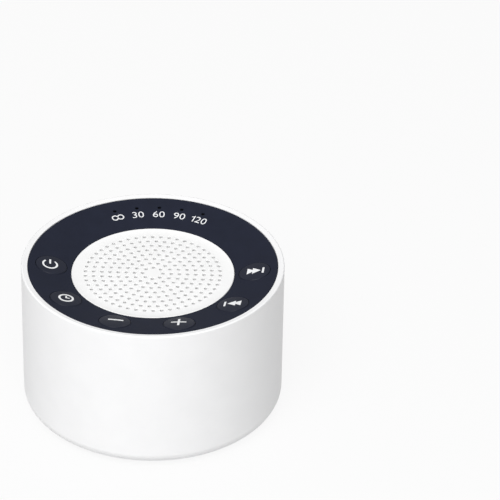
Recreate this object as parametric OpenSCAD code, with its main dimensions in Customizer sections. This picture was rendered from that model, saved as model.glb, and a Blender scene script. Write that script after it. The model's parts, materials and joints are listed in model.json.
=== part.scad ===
// Round tabletop sound machine: a white cup-shaped housing with a dished control ring
// around a perforated speaker grille. It stands on +Z with its controls' front at -Y.

/* [Housing] */
// Outer diameter of the housing
body_d = 90; // [87:1:96]
// Height of the housing, from its underside to its upper edge
body_h = 53; // [51:1:61]
// Thickness of the side wall
wall = 2.8; // [2.5:0.1:3]
// Radius of the rounded lower edge
base_round = 4.6; // [4:0.2:5.4]
// Radius of the rim's outer edge
rim_round = 0.5; // [0.3:0.1:1]
// Width of the rim around the control ring
rim_w = 2.15; // [2:0.05:2.5]
// Thickness of the deck that carries the ring, the grille and the speaker
deck_t = 2; // [1.6:0.1:2.4]
// Diameter of the posts that take the base screws
post_d = 6.4; // [5.6:0.2:7]
// Distance of the posts' axes from the inside of the wall
post_inset = 5.2; // [4.8:0.1:5.6]
// Play between parts that are set into each other
seat_gap = 0.15; // [0.1:0.05:0.2]

/* [Control ring] */
// How far the dished top falls from the housing's upper edge to the grille
dish = 3.8; // [2.8:0.1:4]
// Thickness of the ring
ring_t = 2; // [1.6:0.1:2.4]
// Depth of the ring's outer edge under the rim
ring_sink = 0.1; // [0:0.05:0.3]
// Thickness of the ring's inner skirt
inner_skirt = 0.6; // [0.5:0.05:0.7]
// Thickness of the ring's outer skirt
outer_skirt = 1.1; // [0.8:0.1:1.2]
// Room between the inner skirt and the buttons' flanges
inner_room = 0.3; // [0.25:0.05:0.5]
// Room between the buttons' flanges and the outer skirt
outer_room = 1.05; // [0.6:0.05:1.15]

/* [Buttons] */
// Diameter of a button
button_d = 10.6; // [9:0.2:10.8]
// Angle between one button and the next
button_step = 36; // [34:1:38]
// Height of a button's crown over the ring
button_rise = 0.4; // [0.3:0.05:0.6]
// Height of the crown over the button's own edge
button_crown = 0.25; // [0.1:0.05:0.4]
// Travel of a button
button_travel = 0.5; // [0.3:0.05:0.6]
// Width of the flange that keeps a button in the ring
button_flange_w = 0.6; // [0.4:0.05:0.65]
// Thickness of the flange
button_flange_t = 0.9; // [0.7:0.05:1.1]
// Diameter of the stem under a button
stem_d = 3.5; // [3:0.1:4]
// Play around a button in the ring
button_gap = 0.15; // [0.1:0.05:0.25]
// Play around a stem in the deck
stem_gap = 0.4; // [0.3:0.05:0.6]

/* [Timer lights] */
// Number of timer lights
light_count = 5; // [3:1:5]
// Distance of the lights from the ring's outer edge
light_inset = 4.75; // [4.2:0.05:5]
// Angle between one light and the next
light_step = 12; // [10:1:13]
// Diameter of a light's opening
light_d = 1.1; // [0.8:0.1:1.2]

/* [Grille] */
// Thickness of the perforated disc
grille_t = 1.6; // [1.2:0.1:2]
// Thickness of the grille's skirt
grille_skirt = 1.7; // [1.4:0.1:2]
// Width of the grille's sloping border
border_w = 1.8; // [1:0.1:2.2]
// Diameter of a sound hole
hole_d = 1.25; // [1:0.05:1.5]
// Diameter of a sound hole at the back, to which it opens out behind its straight mouth
hole_back_d = 1.9; // [1.6:0.1:2]
// Length of a sound hole's straight mouth
hole_mouth = 0.35; // [0.2:0.05:0.6]
// Least distance from a hole's axis to the grille's skirt
hole_margin = 1.2; // [1:0.1:2]
// Diameter of the innermost ring of holes
first_ring_d = 7; // [6:0.1:8]
// Distance from one ring of holes to the next
hole_pitch = 2.8; // [2.5:0.05:2.9]
// Thickness of the dust mesh
mesh_t = 0.3; // [0.2:0.05:0.5]

/* [Speaker] */
// Width of the deck's ledge from the ring's inside to the opening over the speaker
ledge_w = 4.5; // [4.2:0.1:5]
// Lap of the speaker's flange under the deck
flange_lap = 1.5; // [1.4:0.1:1.9]
// Thickness of the speaker's flange
flange_t = 1.2; // [1:0.1:1.5]
// Thickness of the basket's pressed steel
basket_t = 0.9; // [0.7:0.1:1]
// Depth of the basket from its flange's front to the top plate
basket_h = 10.8; // [10.4:0.1:11]
// Thickness of the gasket on the flange
gasket_t = 0.6; // [0.5:0.05:0.8]
// Width of the gasket
gasket_w = 1.2; // [1:0.1:1.3]
// Width of the surround's roll
roll_w = 3.8; // [3:0.1:4.2]
// Thickness of the cone
cone_t = 0.4; // [0.3:0.05:0.5]
// Diameter of the voice coil's former
coil_d = 13.2; // [12.8:0.1:13.4]
// Diameter of the ring magnet
magnet_d = 32; // [28:0.5:33]
// Thickness of the ring magnet
magnet_t = 5.2; // [4:0.1:5.4]
// Thickness of the top plate and of the yoke's plate
plate_t = 2; // [1.6:0.1:2.2]
// Excursion of the cone to each side
cone_travel = 0.8; // [0.4:0.1:1]

/* [Boards] */
// Thickness of the key board
key_board_t = 1.2; // [1:0.1:1.6]
// Height of a switch's body
switch_h = 3.4; // [3:0.1:3.6]
// Width of a switch's body
switch_w = 6; // [5.6:0.1:6.2]
// Height of a plunger over its switch
plunger_h = 0.9; // [0.7:0.05:1.1]
// Thickness of the main board
main_board_t = 1.6; // [1.2:0.1:1.8]
// Height of the main board's standoffs
standoff_h = 4.3; // [3.6:0.1:5]
// Width of the power socket
socket_w = 8.94; // [8.8:0.02:9.1]
// Height of the power socket
socket_h = 3.26; // [3.1:0.02:3.4]
// Thickness of the ribbon cable
ribbon_t = 0.7; // [0.5:0.05:0.9]
// Width of the ribbon cable
ribbon_w = 5; // [4:0.5:5.5]
// Diameter of a lead's wire
wire_d = 1.3; // [1:0.1:1.5]

/* [Battery] */
// Width of the cell
cell_w = 44; // [38:0.5:46]
// Length of the cell
cell_l = 24; // [20:0.5:24.4]
// Thickness of the cell
cell_t = 9; // [6:0.2:9.4]
// Thickness of the foam pad under the cell
pad_t = 0.8; // [0.5:0.1:1.2]

/* [Base] */
// Thickness of the base cover
base_t = 2.2; // [2:0.1:2.6]
// Height of the locating rib on the cover
locator_h = 3; // [2:0.2:4]
// Diameter of a foot
foot_d = 10; // [8:0.5:12]
// Height of a foot
foot_h = 1.6; // [1.4:0.1:1.8]
// How far the feet stand out of the cover
foot_proud = 1; // [0.8:0.1:1.2]
// Distance of the feet's axes from the inside of the wall
foot_inset = 12.2; // [10:0.2:14]
// Diameter of a base screw's shank
screw_d = 2.5; // [2.2:0.1:2.8]
// Diameter of a base screw's head
screw_head_d = 5; // [4.4:0.1:5.2]
// Diameter of a small screw's shank
small_screw_d = 2; // [1.8:0.1:2.2]
// Diameter of a small screw's head
small_head_d = 4; // [3.6:0.1:4.4]
// Thickness of a small screw's head
small_head_h = 1.6; // [1.2:0.1:1.7]

/* [Hidden] */

// Facets of large rounds, small rounds and the flattest arcs
$fn = 96;
screw_fn = 48;
small_fn = 24;
hole_fn = 16;
arc_fn = 360;
// Reach of a cut past the face that it opens
eps = 0.5;
// Play of a screw in its thread, of a screw in a board, and of parts that are laid against a curved one
screw_gap = 0.05;
board_screw_gap = 0.15;
laid_gap = 0.1;
// Room beyond a small screw's tip and beyond a base screw's
tip_room = 0.4;
post_tip_room = 2;
// Straight stretch that is left between two rounded corners
flat_stretch = 0.1;

// Colours
white = [0.93, 0.93, 0.94];
navy = [0.16, 0.17, 0.22];
board_green = [0.1, 0.35, 0.2];
black = [0.08, 0.08, 0.08];
steel = [0.65, 0.66, 0.68];
zinc = [0.5, 0.51, 0.53];
copper = [0.72, 0.45, 0.2];
cream = [0.9, 0.87, 0.78];

// Housing
body_r = body_d / 2;
inner_r = body_r - wall;
base_z = foot_proud;
rim_z = base_z + body_h;
seat_r = body_r - rim_w;
post_r = post_d / 2;
post_circle_r = inner_r - post_inset;
post_angles = [36, 144, 234, 306];
post_screw_bite = 12;
rib_t = 1.6;

// Control ring: its width is what the buttons' flanges need, and its top lies in the same shallow
// cone as the rim
button_r = button_d / 2;
button_flange_r = button_r + button_flange_w;
ring_r = seat_r - seat_gap;
grille_r = seat_r - outer_skirt - outer_room - 2 * button_flange_r - inner_room - inner_skirt;
ring_slope = dish / (body_r - grille_r);
ring_tilt = atan(ring_slope);
ring_edge = 0.2;
function rim_height(r) = rim_z - ring_slope * (body_r - r);
function ring_z(r) = rim_height(r) - ring_sink;

// Buttons
button_circle_r = grille_r + inner_skirt + inner_room + button_flange_r;
flange_play = 0.1;
stop_play = 0.3;
crown_base = 0.6;
crown_edge = 0.35;
crown_inset = 0.1;
crown_r = (button_r * button_r + button_crown * button_crown) / (2 * button_crown);
function button_angle(i) = 180 + i * button_step;

// Deck, low enough for the flanges to travel between it and the ring
deck_top = ring_z(button_circle_r - button_flange_r) - ring_t - flange_play - button_flange_t
    - button_travel - stop_play;
deck_low = deck_top - deck_t;
throat_r = grille_r - ledge_w;

// Grille
grille_gap = 0.1;
grille_outer_r = grille_r - grille_gap;
grille_top = ring_z(grille_r);
grille_face = grille_top - ring_slope * border_w;
grille_low = grille_face - grille_t;
grille_edge = 0.25;
first_ring_r = first_ring_d / 2;
hole_rings = 1 + floor((grille_outer_r - grille_skirt - hole_margin - first_ring_r) / hole_pitch);
function holes_in_ring(k) = 8 + 6 * k;
mesh_r = grille_outer_r - grille_skirt - seat_gap;

// Timer lights
light_circle_r = seat_r - light_inset;
light_r = light_d / 2;
light_gap = 0.1;
light_start = 90 + light_step * (light_count - 1) / 2;
function light_angle(i) = light_start - i * light_step;
pipe_rail_w = 2;
pipe_rail_h = 1.4;
pipe_rail_end = 4;
pipe_dip = 0.15;
led_gap = 0.3;

// Key board and its switches
plunger_r = stem_d / 2;
plunger_play = 0.2;
plunger_dip = 0.5;
plunger_top = deck_low - plunger_dip;
switch_top = plunger_top - plunger_h;
key_board_top = switch_top - switch_h;
key_board_low = key_board_top - key_board_t;
key_board_edge = 1.4;
key_board_r = inner_r - key_board_edge;
key_screw_angles = [60, 120, 198, 270, 342];
key_screw_inset = 3.5;
key_screw_circle_r = button_circle_r - key_screw_inset;
key_screw_bite = 3.6;
key_boss_r = 2.4;
notch_gap = 0.4;
small_screw_r = small_screw_d / 2;
small_head_r = small_head_d / 2;
led_size = [0.8, 1.6, 0.7];

// Speaker
driver_r = throat_r + flange_lap;
flange_top = deck_low - gasket_t;
flange_low = flange_top - flange_t;
plate_top = flange_top - basket_h;
plate_low = plate_top - plate_t;
magnet_r = magnet_d / 2;
magnet_low = plate_low - magnet_t;
yoke_low = magnet_low - plate_t;
magnet_bore_r = 8;
coil_r = coil_d / 2;
former_t = 0.15;
winding_t = 0.35;
winding_h = plate_t + 3 * cone_travel;
coil_gap = 0.4;
pole_r = coil_r - former_t - coil_gap;
plate_bore_r = coil_r + winding_t + coil_gap;
winding_low = plate_top - plate_t / 2 - winding_h / 2;
former_rise = 4;
former_top = winding_low + winding_h + former_rise;
plate_inset = 1.4;
basket_floor_r = 14.5;
spider_seat_r = 16.5;
spider_step_h = 2.6;
spider_seat_z = plate_top + spider_step_h;
basket_inset = 0.7;
basket_rim_r = throat_r - basket_inset;
basket_window_w = 10;
basket_frame_w = 1.3;
roll_r = roll_w / 2;
cone_r = basket_rim_r - roll_w;
cone_lip_w = 1.4;
cone_lip_gap = 0.2;
cone_neck_r = coil_r + laid_gap;
cone_neck_h = 0.8;
former_lap = 1.2;
cone_low = former_top - former_lap;
cone_drop = 0.6;
cone_high = flange_top - cone_drop;
cap_lap = 1.6;
cap_r = coil_r + cap_lap;
surround_t = 0.4;
surround_gap = 0.1;
surround_out_r = driver_r - gasket_w - surround_gap;
spider_t = 0.35;
speaker_screw_angles = [45, 135, 225, 315];
speaker_screw_head_r = 3;
speaker_screw_lap = 1;
speaker_screw_circle_r = driver_r + speaker_screw_head_r - speaker_screw_lap;
speaker_boss_r = speaker_screw_circle_r - driver_r - seat_gap;
speaker_screw_bite = 2.6;
tab_inset = 0.5;
tab_y = basket_rim_r - tab_inset;
tab_w = 10;
tab_t = 0.8;
tab_h = 6.5;
strip_t = 0.8;
strip_h = 5;
lug = [1.5, 0.3, 4];
lug_out_y = tab_y + tab_t + strip_t + lug[1];

// Base
base_top = base_z + base_t;
cover_r = inner_r - seat_gap;
locator_r = inner_r - 0.2;
locator_t = 1.1;
well_r = 4.4;
well_h = 4.8;
well_depth = 4.5;
well_top = base_top + well_h;
well_floor = base_z + well_depth;
screw_play = 0.2;
well_bore_r = screw_head_d / 2 + screw_play;
screw_r = screw_d / 2;
screw_head_h = 1.6;
foot_r = foot_d / 2;
foot_circle_r = inner_r - foot_inset;
foot_gap = 0.1;
foot_recess = foot_h - foot_proud;
foot_edge = 0.4;

// Battery, just behind the wells of the front posts
well_gap = 0.5;
cell_front = post_circle_r * sin(post_angles[3]) + well_r + well_gap;
cell_y = cell_front + cell_l / 2;
cell_z = base_top + pad_t;
cell_round = 2.5;
cell_board = [30, 3, 5];
pad_inset = 2;
pen_t = 1.4;
pen_h = 5;
pen_gap = 0.3;

// Main board on its standoffs behind the battery, with the power socket at the rear
board_low = base_top + standoff_h;
board_top = board_low + main_board_t;
board_edge = 1.2;
board_r = inner_r - board_edge;
board_gap = 3;
board_front = cell_front + cell_l + cell_board[1] + board_gap;
board_side = post_circle_r * cos(post_angles[0]) - well_r - well_gap;
standoff_r = 2.6;
front_standoff_inset = [4.5, 2.4];
rear_standoff_angle = 50;
rear_standoff_r = inner_r - 6.7;
standoff_places = [for (x = [-1, 1], p = [
    [board_side - front_standoff_inset[0], board_front + front_standoff_inset[1]],
    rear_standoff_r * [cos(rear_standoff_angle), sin(rear_standoff_angle)]
]) [x * p[0], p[1]]];
board_screw_bite = 3.4;
socket_l = 7.3;
socket_wall = 0.3;
socket_round = (socket_h - flat_stretch) / 2;
socket_dip = 0.1;
socket_mouth = inner_r - socket_dip;
socket_z = board_top + socket_h / 2;
tongue_w = 6.7;
tongue_t = 0.7;
tongue_dip = 0.6;
tongue_back = 1.6;
inlet_play = 0.25;
inlet_w = socket_w + 2 * inlet_play;
inlet_h = socket_h + 2 * inlet_play;
inlet_web = 1.1;
plug_w = 13;
plug_h = 7;
plug_round = 2;

// Sockets and leads
ribbon_y = board_front + 7.6;
ribbon_socket_wall = 0.5;
ribbon_socket_w = 4;
ribbon_socket_l = ribbon_w + 2 * ribbon_socket_wall;
key_socket_edge = 1;
key_socket_h = 3;
ribbon_socket_x = board_side - 4;
lead_socket_h = 4;
lead_socket_w = 6.5;
lead_socket_l = 5;
speaker_socket_place = [-9, board_front + 7];
battery_socket_place = [9, board_front + 7];
wire_r = wire_d / 2;
wire_pitch = 2.4;
wire_sides = 8;
wire_steps = 16;
lead_room = 1;
key_board_bore_r = lug_out_y + wire_d + lead_room;
key_socket_x = sqrt(pow(key_board_bore_r, 2) - pow(ribbon_y - ribbon_socket_l / 2, 2))
    + key_socket_edge + ribbon_socket_w / 2;

// Puts its children on a circle of radius r at angle a, turned to face outwards
module on_circle(r, a) {
    rotate([0, 0, a]) translate([r, 0, 0]) children();
}

// What a fillet of radius r takes from a corner at the origin, of stuff at +X and +Y
module corner_cut(r) {
    difference() {
        translate([-eps, -eps]) square(r + eps);
        translate([r, r]) circle(r);
    }
}

// Rectangle of w by h around the origin with ends rounded to radius r
module round_rect(w, h, r) {
    square([w - 2 * r, h], center = true);
    square([w, h - 2 * r], center = true);
    for (x = [-1, 1], y = [-1, 1]) translate([x * (w / 2 - r), y * (h / 2 - r)]) circle(r, $fn = small_fn);
}

// Flat ring of outer radius r, inner radius bore and height h
module washer(r, bore, h) {
    linear_extrude(h) difference() {
        circle(r);
        circle(bore);
    }
}

// Outline of the housing's outside, from the axis to the wall
module body_outline() {
    rim_centre_r = body_r - rim_round;
    rim_centre = [rim_centre_r, rim_height(rim_centre_r) - rim_round / cos(ring_tilt)];
    rim_tangent = rim_centre + rim_round * [-sin(ring_tilt), cos(ring_tilt)];
    difference() {
        translate([0, base_z]) square([body_r, body_h]);
        translate([body_r, base_z]) mirror([1, 0]) corner_cut(base_round);
        // The rim falls inwards, and its outer edge is rounded
        polygon([[0, rim_height(0)], [body_r + eps, rim_height(body_r + eps)], [0, rim_z + eps]]);
        difference() {
            polygon([rim_centre, rim_tangent, [body_r + eps, rim_z + eps], [body_r + eps, rim_centre[1]]]);
            translate(rim_centre) circle(rim_round);
        }
    }
}

module shell_outline() {
    difference() {
        body_outline();
        translate([0, base_z - eps]) square([inner_r, deck_low - base_z + eps]);
        translate([0, deck_low - eps]) square([throat_r, rim_z - deck_low + 2 * eps]);
        translate([0, deck_top]) square([seat_r, rim_z - deck_top + eps]);
    }
}

// Mouth for the power plug: a pocket in the wall and a slot through the web behind it
module plug_mouth() {
    translate([0, inner_r - eps, socket_z]) rotate([-90, 0, 0])
        linear_extrude(wall + 2 * eps) round_rect(inlet_w, inlet_h, (inlet_h - flat_stretch) / 2);
    translate([0, inner_r + inlet_web, socket_z]) rotate([-90, 0, 0])
        linear_extrude(wall) round_rect(plug_w, plug_h, plug_round);
}

module outer_shell() {
    color(white) difference() {
        union() {
            rotate_extrude() shell_outline();
            for (a = post_angles) rotate([0, 0, a]) {
                translate([post_circle_r, 0, well_top]) cylinder(r = post_r, h = deck_low - well_top + eps);
                translate([post_circle_r, -rib_t / 2, well_top + rib_t])
                    cube([post_inset + eps, rib_t, deck_low - well_top]);
            }
            for (a = key_screw_angles) on_circle(key_screw_circle_r, a)
                translate([0, 0, key_board_top]) cylinder(r = key_boss_r, h = deck_low - key_board_top + eps);
            for (a = speaker_screw_angles) on_circle(speaker_screw_circle_r, a)
                translate([0, 0, flange_low]) cylinder(r = speaker_boss_r, h = deck_low - flange_low + eps);
        }
        for (a = post_angles) on_circle(post_circle_r, a)
            translate([0, 0, well_top - eps])
                cylinder(r = screw_r + screw_gap, h = post_screw_bite + post_tip_room + eps);
        for (a = key_screw_angles) on_circle(key_screw_circle_r, a)
            translate([0, 0, key_board_top - eps])
                cylinder(r = small_screw_r + screw_gap, h = key_screw_bite + tip_room + eps);
        for (a = speaker_screw_angles) on_circle(speaker_screw_circle_r, a)
            translate([0, 0, flange_low - eps])
                cylinder(r = small_screw_r + screw_gap, h = speaker_screw_bite + tip_room + eps);
        for (i = [0:5]) on_circle(button_circle_r, button_angle(i))
            translate([0, 0, deck_low - eps]) cylinder(r = plunger_r + stem_gap, h = deck_t + 2 * eps);
        for (i = [0:light_count - 1]) on_circle(light_circle_r, light_angle(i))
            translate([0, 0, deck_low - eps])
                cylinder(r = light_r + light_gap, h = deck_t + 2 * eps, $fn = small_fn);
        plug_mouth();
    }
}

module base_cover() {
    color(white) difference() {
        union() {
            rotate_extrude() intersection() {
                body_outline();
                square([cover_r, base_top]);
            }
            translate([0, 0, base_top - eps]) washer(locator_r, locator_r - locator_t, locator_h + eps);
            for (a = post_angles) on_circle(post_circle_r, a)
                translate([0, 0, base_z + eps]) cylinder(r = well_r, h = well_top - base_z - eps);
            for (p = standoff_places) translate([p[0], p[1], base_z + eps])
                cylinder(r = standoff_r, h = board_low - base_z - eps);
            // Low pens that keep the cell in its place
            translate([0, 0, base_top - eps]) linear_extrude(pen_h + eps) {
                for (x = [-1, 1]) translate([x * (cell_w / 2 + pen_gap + pen_t / 2), cell_y])
                    square([pen_t, cell_l / 2], center = true);
                translate([0, cell_front - pen_gap - pen_t / 2]) square([cell_w / 2, pen_t], center = true);
            }
        }
        for (a = post_angles) on_circle(post_circle_r, a) {
            translate([0, 0, base_z - eps]) cylinder(r = well_bore_r, h = well_floor - base_z + eps);
            translate([0, 0, base_z]) cylinder(r = screw_r + screw_play, h = well_top - base_z + eps);
        }
        for (p = standoff_places) translate([p[0], p[1], base_top])
            cylinder(r = small_screw_r + screw_gap, h = board_low - base_top + eps);
        for (i = [0:3]) on_circle(foot_circle_r, i * 90)
            translate([0, 0, base_z - eps]) cylinder(r = foot_r + foot_gap, h = foot_recess + eps);
    }
}

module control_ring() {
    color(navy) difference() {
        rotate_extrude() difference() {
            polygon([
                [grille_r, deck_top],
                [ring_r, deck_top],
                [ring_r, ring_z(ring_r) - ring_edge],
                [ring_r - ring_edge, ring_z(ring_r - ring_edge)],
                [grille_r + ring_edge, ring_z(grille_r + ring_edge)],
                [grille_r, ring_z(grille_r) - ring_edge]
            ]);
            polygon([
                [grille_r + inner_skirt, deck_top - eps],
                [ring_r - outer_skirt, deck_top - eps],
                [ring_r - outer_skirt, ring_z(ring_r - outer_skirt) - ring_t],
                [grille_r + inner_skirt, ring_z(grille_r + inner_skirt) - ring_t]
            ]);
        }
        for (i = [0:5]) on_circle(button_circle_r, button_angle(i))
            translate([0, 0, deck_top + eps]) cylinder(r = button_r + button_gap, h = rim_z - deck_top);
        for (i = [0:light_count - 1]) on_circle(light_circle_r, light_angle(i))
            translate([0, 0, deck_top + eps])
                cylinder(r = light_r + light_gap, h = rim_z - deck_top, $fn = small_fn);
    }
}

module grille() {
    color(white) difference() {
        rotate_extrude() difference() {
            polygon([
                [0, deck_top],
                [grille_outer_r, deck_top],
                [grille_outer_r, grille_top - grille_edge],
                [grille_outer_r - grille_edge, grille_top],
                [grille_outer_r - border_w, grille_face],
                [0, grille_face]
            ]);
            translate([0, deck_top - eps]) square([grille_outer_r - grille_skirt, grille_low - deck_top + eps]);
        }
        for (k = [0:hole_rings - 1], i = [0:holes_in_ring(k) - 1])
            on_circle(first_ring_r + k * hole_pitch, i * 360 / holes_in_ring(k))
                sound_hole();
    }
}

// Cutter for one hole, as the pin that moulds it from behind
module sound_hole() {
    rotate_extrude($fn = hole_fn) polygon([
        [0, grille_low - eps],
        [hole_back_d / 2, grille_low - eps],
        [hole_back_d / 2, grille_low],
        [hole_d / 2, grille_face - hole_mouth],
        [hole_d / 2, grille_face + eps],
        [0, grille_face + eps]
    ]);
}

module dust_mesh() {
    color(black) translate([0, 0, grille_low - mesh_t]) cylinder(r = mesh_r, h = mesh_t);
}

// Comb of clear rods on a rail that rests on the deck
module light_pipe() {
    span = light_step * (light_count - 1) + 2 * pipe_rail_end;
    led_top = key_board_top + led_size[2] + led_gap;
    color([0.85, 0.88, 0.9, 0.6]) {
        rotate([0, 0, 90 - span / 2]) rotate_extrude(angle = span)
            translate([light_circle_r - pipe_rail_w / 2, deck_top]) square([pipe_rail_w, pipe_rail_h]);
        for (i = [0:light_count - 1]) on_circle(light_circle_r, light_angle(i)) {
            translate([0, 0, led_top])
                cylinder(r = light_r, h = ring_z(light_circle_r) - pipe_dip - led_top, $fn = small_fn);
        }
    }
}

// Everything of button i that is under the ring's surface lies in a plane parallel to it
module button(i) {
    flange_top_z = -(ring_t + flange_play) * cos(ring_tilt);
    slab = 4 * button_r;
    color(navy) on_circle(button_circle_r, button_angle(i)) {
        // Crown with a rounded edge
        translate([0, 0, ring_z(button_circle_r)]) rotate([0, -ring_tilt, 0]) rotate_extrude() intersection() {
            difference() {
                translate([0, -crown_base]) square([button_r - crown_inset, crown_base + button_rise]);
                translate([button_r - crown_inset, button_rise - button_crown / 2]) rotate(180)
                    corner_cut(crown_edge);
            }
            translate([0, button_rise - crown_r]) circle(crown_r, $fn = arc_fn);
        }
        // Straight side, from the flange to just under the crown
        intersection() {
            translate([0, 0, deck_top]) cylinder(r = button_r, h = rim_z - deck_top);
            translate([0, 0, ring_z(button_circle_r)]) rotate([0, -ring_tilt, 0])
                translate([-slab / 2, -slab / 2, flange_top_z - button_flange_t])
                    cube([slab, slab, -flange_top_z + button_flange_t - crown_base / 2]);
        }
        // Flange
        intersection() {
            translate([0, 0, deck_top]) cylinder(r = button_flange_r, h = rim_z - deck_top);
            translate([0, 0, ring_z(button_circle_r)]) rotate([0, -ring_tilt, 0])
                translate([-slab / 2, -slab / 2, flange_top_z - button_flange_t])
                    cube([slab, slab, button_flange_t]);
        }
        translate([0, 0, plunger_top])
            cylinder(d = stem_d, h = ring_z(button_circle_r) + flange_top_z - plunger_top - button_flange_t / 2);
    }
}

module plunger(i) {
    color(cream) on_circle(button_circle_r, button_angle(i))
        translate([0, 0, switch_top - switch_h / 2]) cylinder(r = plunger_r, h = plunger_h + switch_h / 2);
}

// Switch body: a black base under a pressed steel cover, with four legs on the board
module tact_switch(i) {
    cover_t = 0.4;
    cover_w = switch_w - 0.4;
    leg = [0.7, 1.4, 0.2];
    leg_out = 0.5;
    color(black) on_circle(button_circle_r, button_angle(i)) difference() {
        union() {
            translate([-switch_w / 2, -switch_w / 2, key_board_top]) cube([switch_w, switch_w, switch_h - cover_t]);
            translate([-cover_w / 2, -cover_w / 2, switch_top - cover_t - eps])
                cube([cover_w, cover_w, cover_t + eps]);
            for (x = [-1, 1], y = [-1, 1])
                translate([x * switch_w / 4, y * (switch_w / 2 + leg_out), key_board_top + leg[2] / 2])
                    cube(leg, center = true);
        }
        translate([0, 0, switch_top - switch_h / 2 - button_travel - stop_play])
            cylinder(r = plunger_r + plunger_play, h = switch_h);
    }
}

module key_board() {
    color(board_green) translate([0, 0, key_board_low]) linear_extrude(key_board_t) difference() {
        circle(key_board_r);
        circle(key_board_bore_r);
        // Notches for the posts and their ribs
        for (a = post_angles) rotate(a) {
            translate([post_circle_r, 0]) circle(post_r + notch_gap);
            translate([post_circle_r, -post_r - notch_gap]) square([post_d, post_d + 2 * notch_gap]);
        }
        for (a = key_screw_angles) rotate(a) translate([key_screw_circle_r, 0])
            circle(small_screw_r + board_screw_gap, $fn = small_fn);
    }
}

// Screw with its cylinder head down, under z = 0, and its shank up; w is the width of the cross in the head
module screw(length, shank_r, head_r, head_h, w) {
    cross_l = 1.1 * head_r;
    cross_depth = head_h / 2;
    translate([0, 0, -head_h]) difference() {
        cylinder(r = head_r, h = head_h, $fn = screw_fn);
        for (a = [0, 90]) rotate([0, 0, a])
            translate([-cross_l / 2, -w / 2, -eps]) cube([cross_l, w, cross_depth + eps]);
    }
    translate([0, 0, -cross_depth / 2]) cylinder(r = shank_r, h = length + cross_depth / 2, $fn = screw_fn);
}

module small_screw(length, head_r) {
    screw(length, small_screw_r, head_r, small_head_h, 0.5);
}

module key_board_screws() {
    color(steel) for (a = key_screw_angles) on_circle(key_screw_circle_r, a)
        translate([0, 0, key_board_low]) small_screw(key_board_t + key_screw_bite, small_head_r);
}

module timer_leds() {
    color(cream) for (i = [0:light_count - 1]) on_circle(light_circle_r, light_angle(i))
        translate([0, 0, key_board_top + led_size[2] / 2]) cube(led_size, center = true);
}

module key_board_socket() {
    color(cream) translate([key_socket_x, ribbon_y, key_board_low - key_socket_h])
        lead_socket(ribbon_socket_w, ribbon_socket_l, key_socket_h);
}

module speaker_gasket() {
    color(black) translate([0, 0, flange_top]) washer(driver_r, driver_r - gasket_w, gasket_t);
}

// Pressed steel basket: flange, coned wall with four windows, step for the spider, floor on the top plate
module speaker_basket() {
    color(zinc) difference() {
        union() {
            rotate_extrude() polygon([
                [basket_rim_r, flange_low],
                [driver_r, flange_low],
                [driver_r, flange_top],
                [basket_rim_r - basket_t, flange_top],
                [spider_seat_r, spider_seat_z],
                [basket_floor_r, spider_seat_z],
                [basket_floor_r, plate_top + basket_t],
                [plate_bore_r + 1, plate_top + basket_t],
                [plate_bore_r + 1, plate_top],
                [basket_floor_r + basket_t, plate_top],
                [basket_floor_r + basket_t, spider_seat_z - basket_t],
                [spider_seat_r + basket_t, spider_seat_z - basket_t]
            ]);
            // Tab that carries the terminals
            translate([-tab_w / 2, tab_y, flange_low - tab_h]) cube([tab_w, tab_t, tab_h + flange_t / 2]);
        }
        for (a = speaker_screw_angles) rotate([0, 0, a])
            translate([spider_seat_r, -basket_window_w / 2, spider_seat_z + basket_frame_w])
                cube([driver_r, basket_window_w, flange_low - spider_seat_z - 2 * basket_frame_w]);
    }
}

// Half-roll surround, glued to the flange and to the cone's edge
module surround() {
    z = flange_top;
    mid = cone_r + roll_r;
    color([0.15, 0.15, 0.15]) rotate_extrude() {
        intersection() {
            translate([mid, z]) difference() {
                circle(roll_r);
                circle(roll_r - surround_t);
            }
            translate([cone_r, z]) square([2 * roll_r, roll_r + eps]);
        }
        translate([mid + roll_r - surround_t, z]) square([surround_out_r - mid - roll_r + surround_t, surround_t]);
        translate([cone_r - cone_lip_w, z]) square([cone_lip_w + surround_t, surround_t]);
    }
}

module cone() {
    lip_out = cone_r - cone_lip_gap;
    lip_in = lip_out - cone_lip_w;
    color([0.2, 0.2, 0.21]) rotate_extrude() polygon([
        [cone_neck_r, cone_low],
        [cone_neck_r, cone_low + cone_neck_h],
        [lip_in, cone_high + cone_t],
        [lip_out, cone_high + cone_t],
        [lip_out, cone_high],
        [lip_in + cone_t / 2, cone_high],
        [cone_neck_r + cone_t, cone_low]
    ]);
}

// Thin dome over the coil
module dust_cap() {
    dome_r = 11;
    color([0.25, 0.25, 0.26]) rotate_extrude() intersection() {
        translate([0, dust_cap_z() - sqrt(dome_r * dome_r - cap_r * cap_r)]) difference() {
            circle(dome_r, $fn = arc_fn);
            circle(dome_r - cone_t, $fn = arc_fn);
        }
        translate([0, dust_cap_z()]) square([cap_r, dome_r]);
    }
}

// Height at which the dust cap's edge meets the cone's front
function dust_cap_z() = cone_low + cone_neck_h + laid_gap + (cone_high + cone_t - cone_low - cone_neck_h)
    * (cap_r - cone_neck_r) / (cone_r - cone_lip_gap - cone_lip_w - cone_neck_r);

module coil_former() {
    color(copper) translate([0, 0, winding_low]) washer(coil_r, coil_r - former_t, former_top - winding_low);
}

module voice_coil() {
    color(copper) translate([0, 0, winding_low]) washer(coil_r + winding_t, coil_r, winding_h);
}

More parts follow.
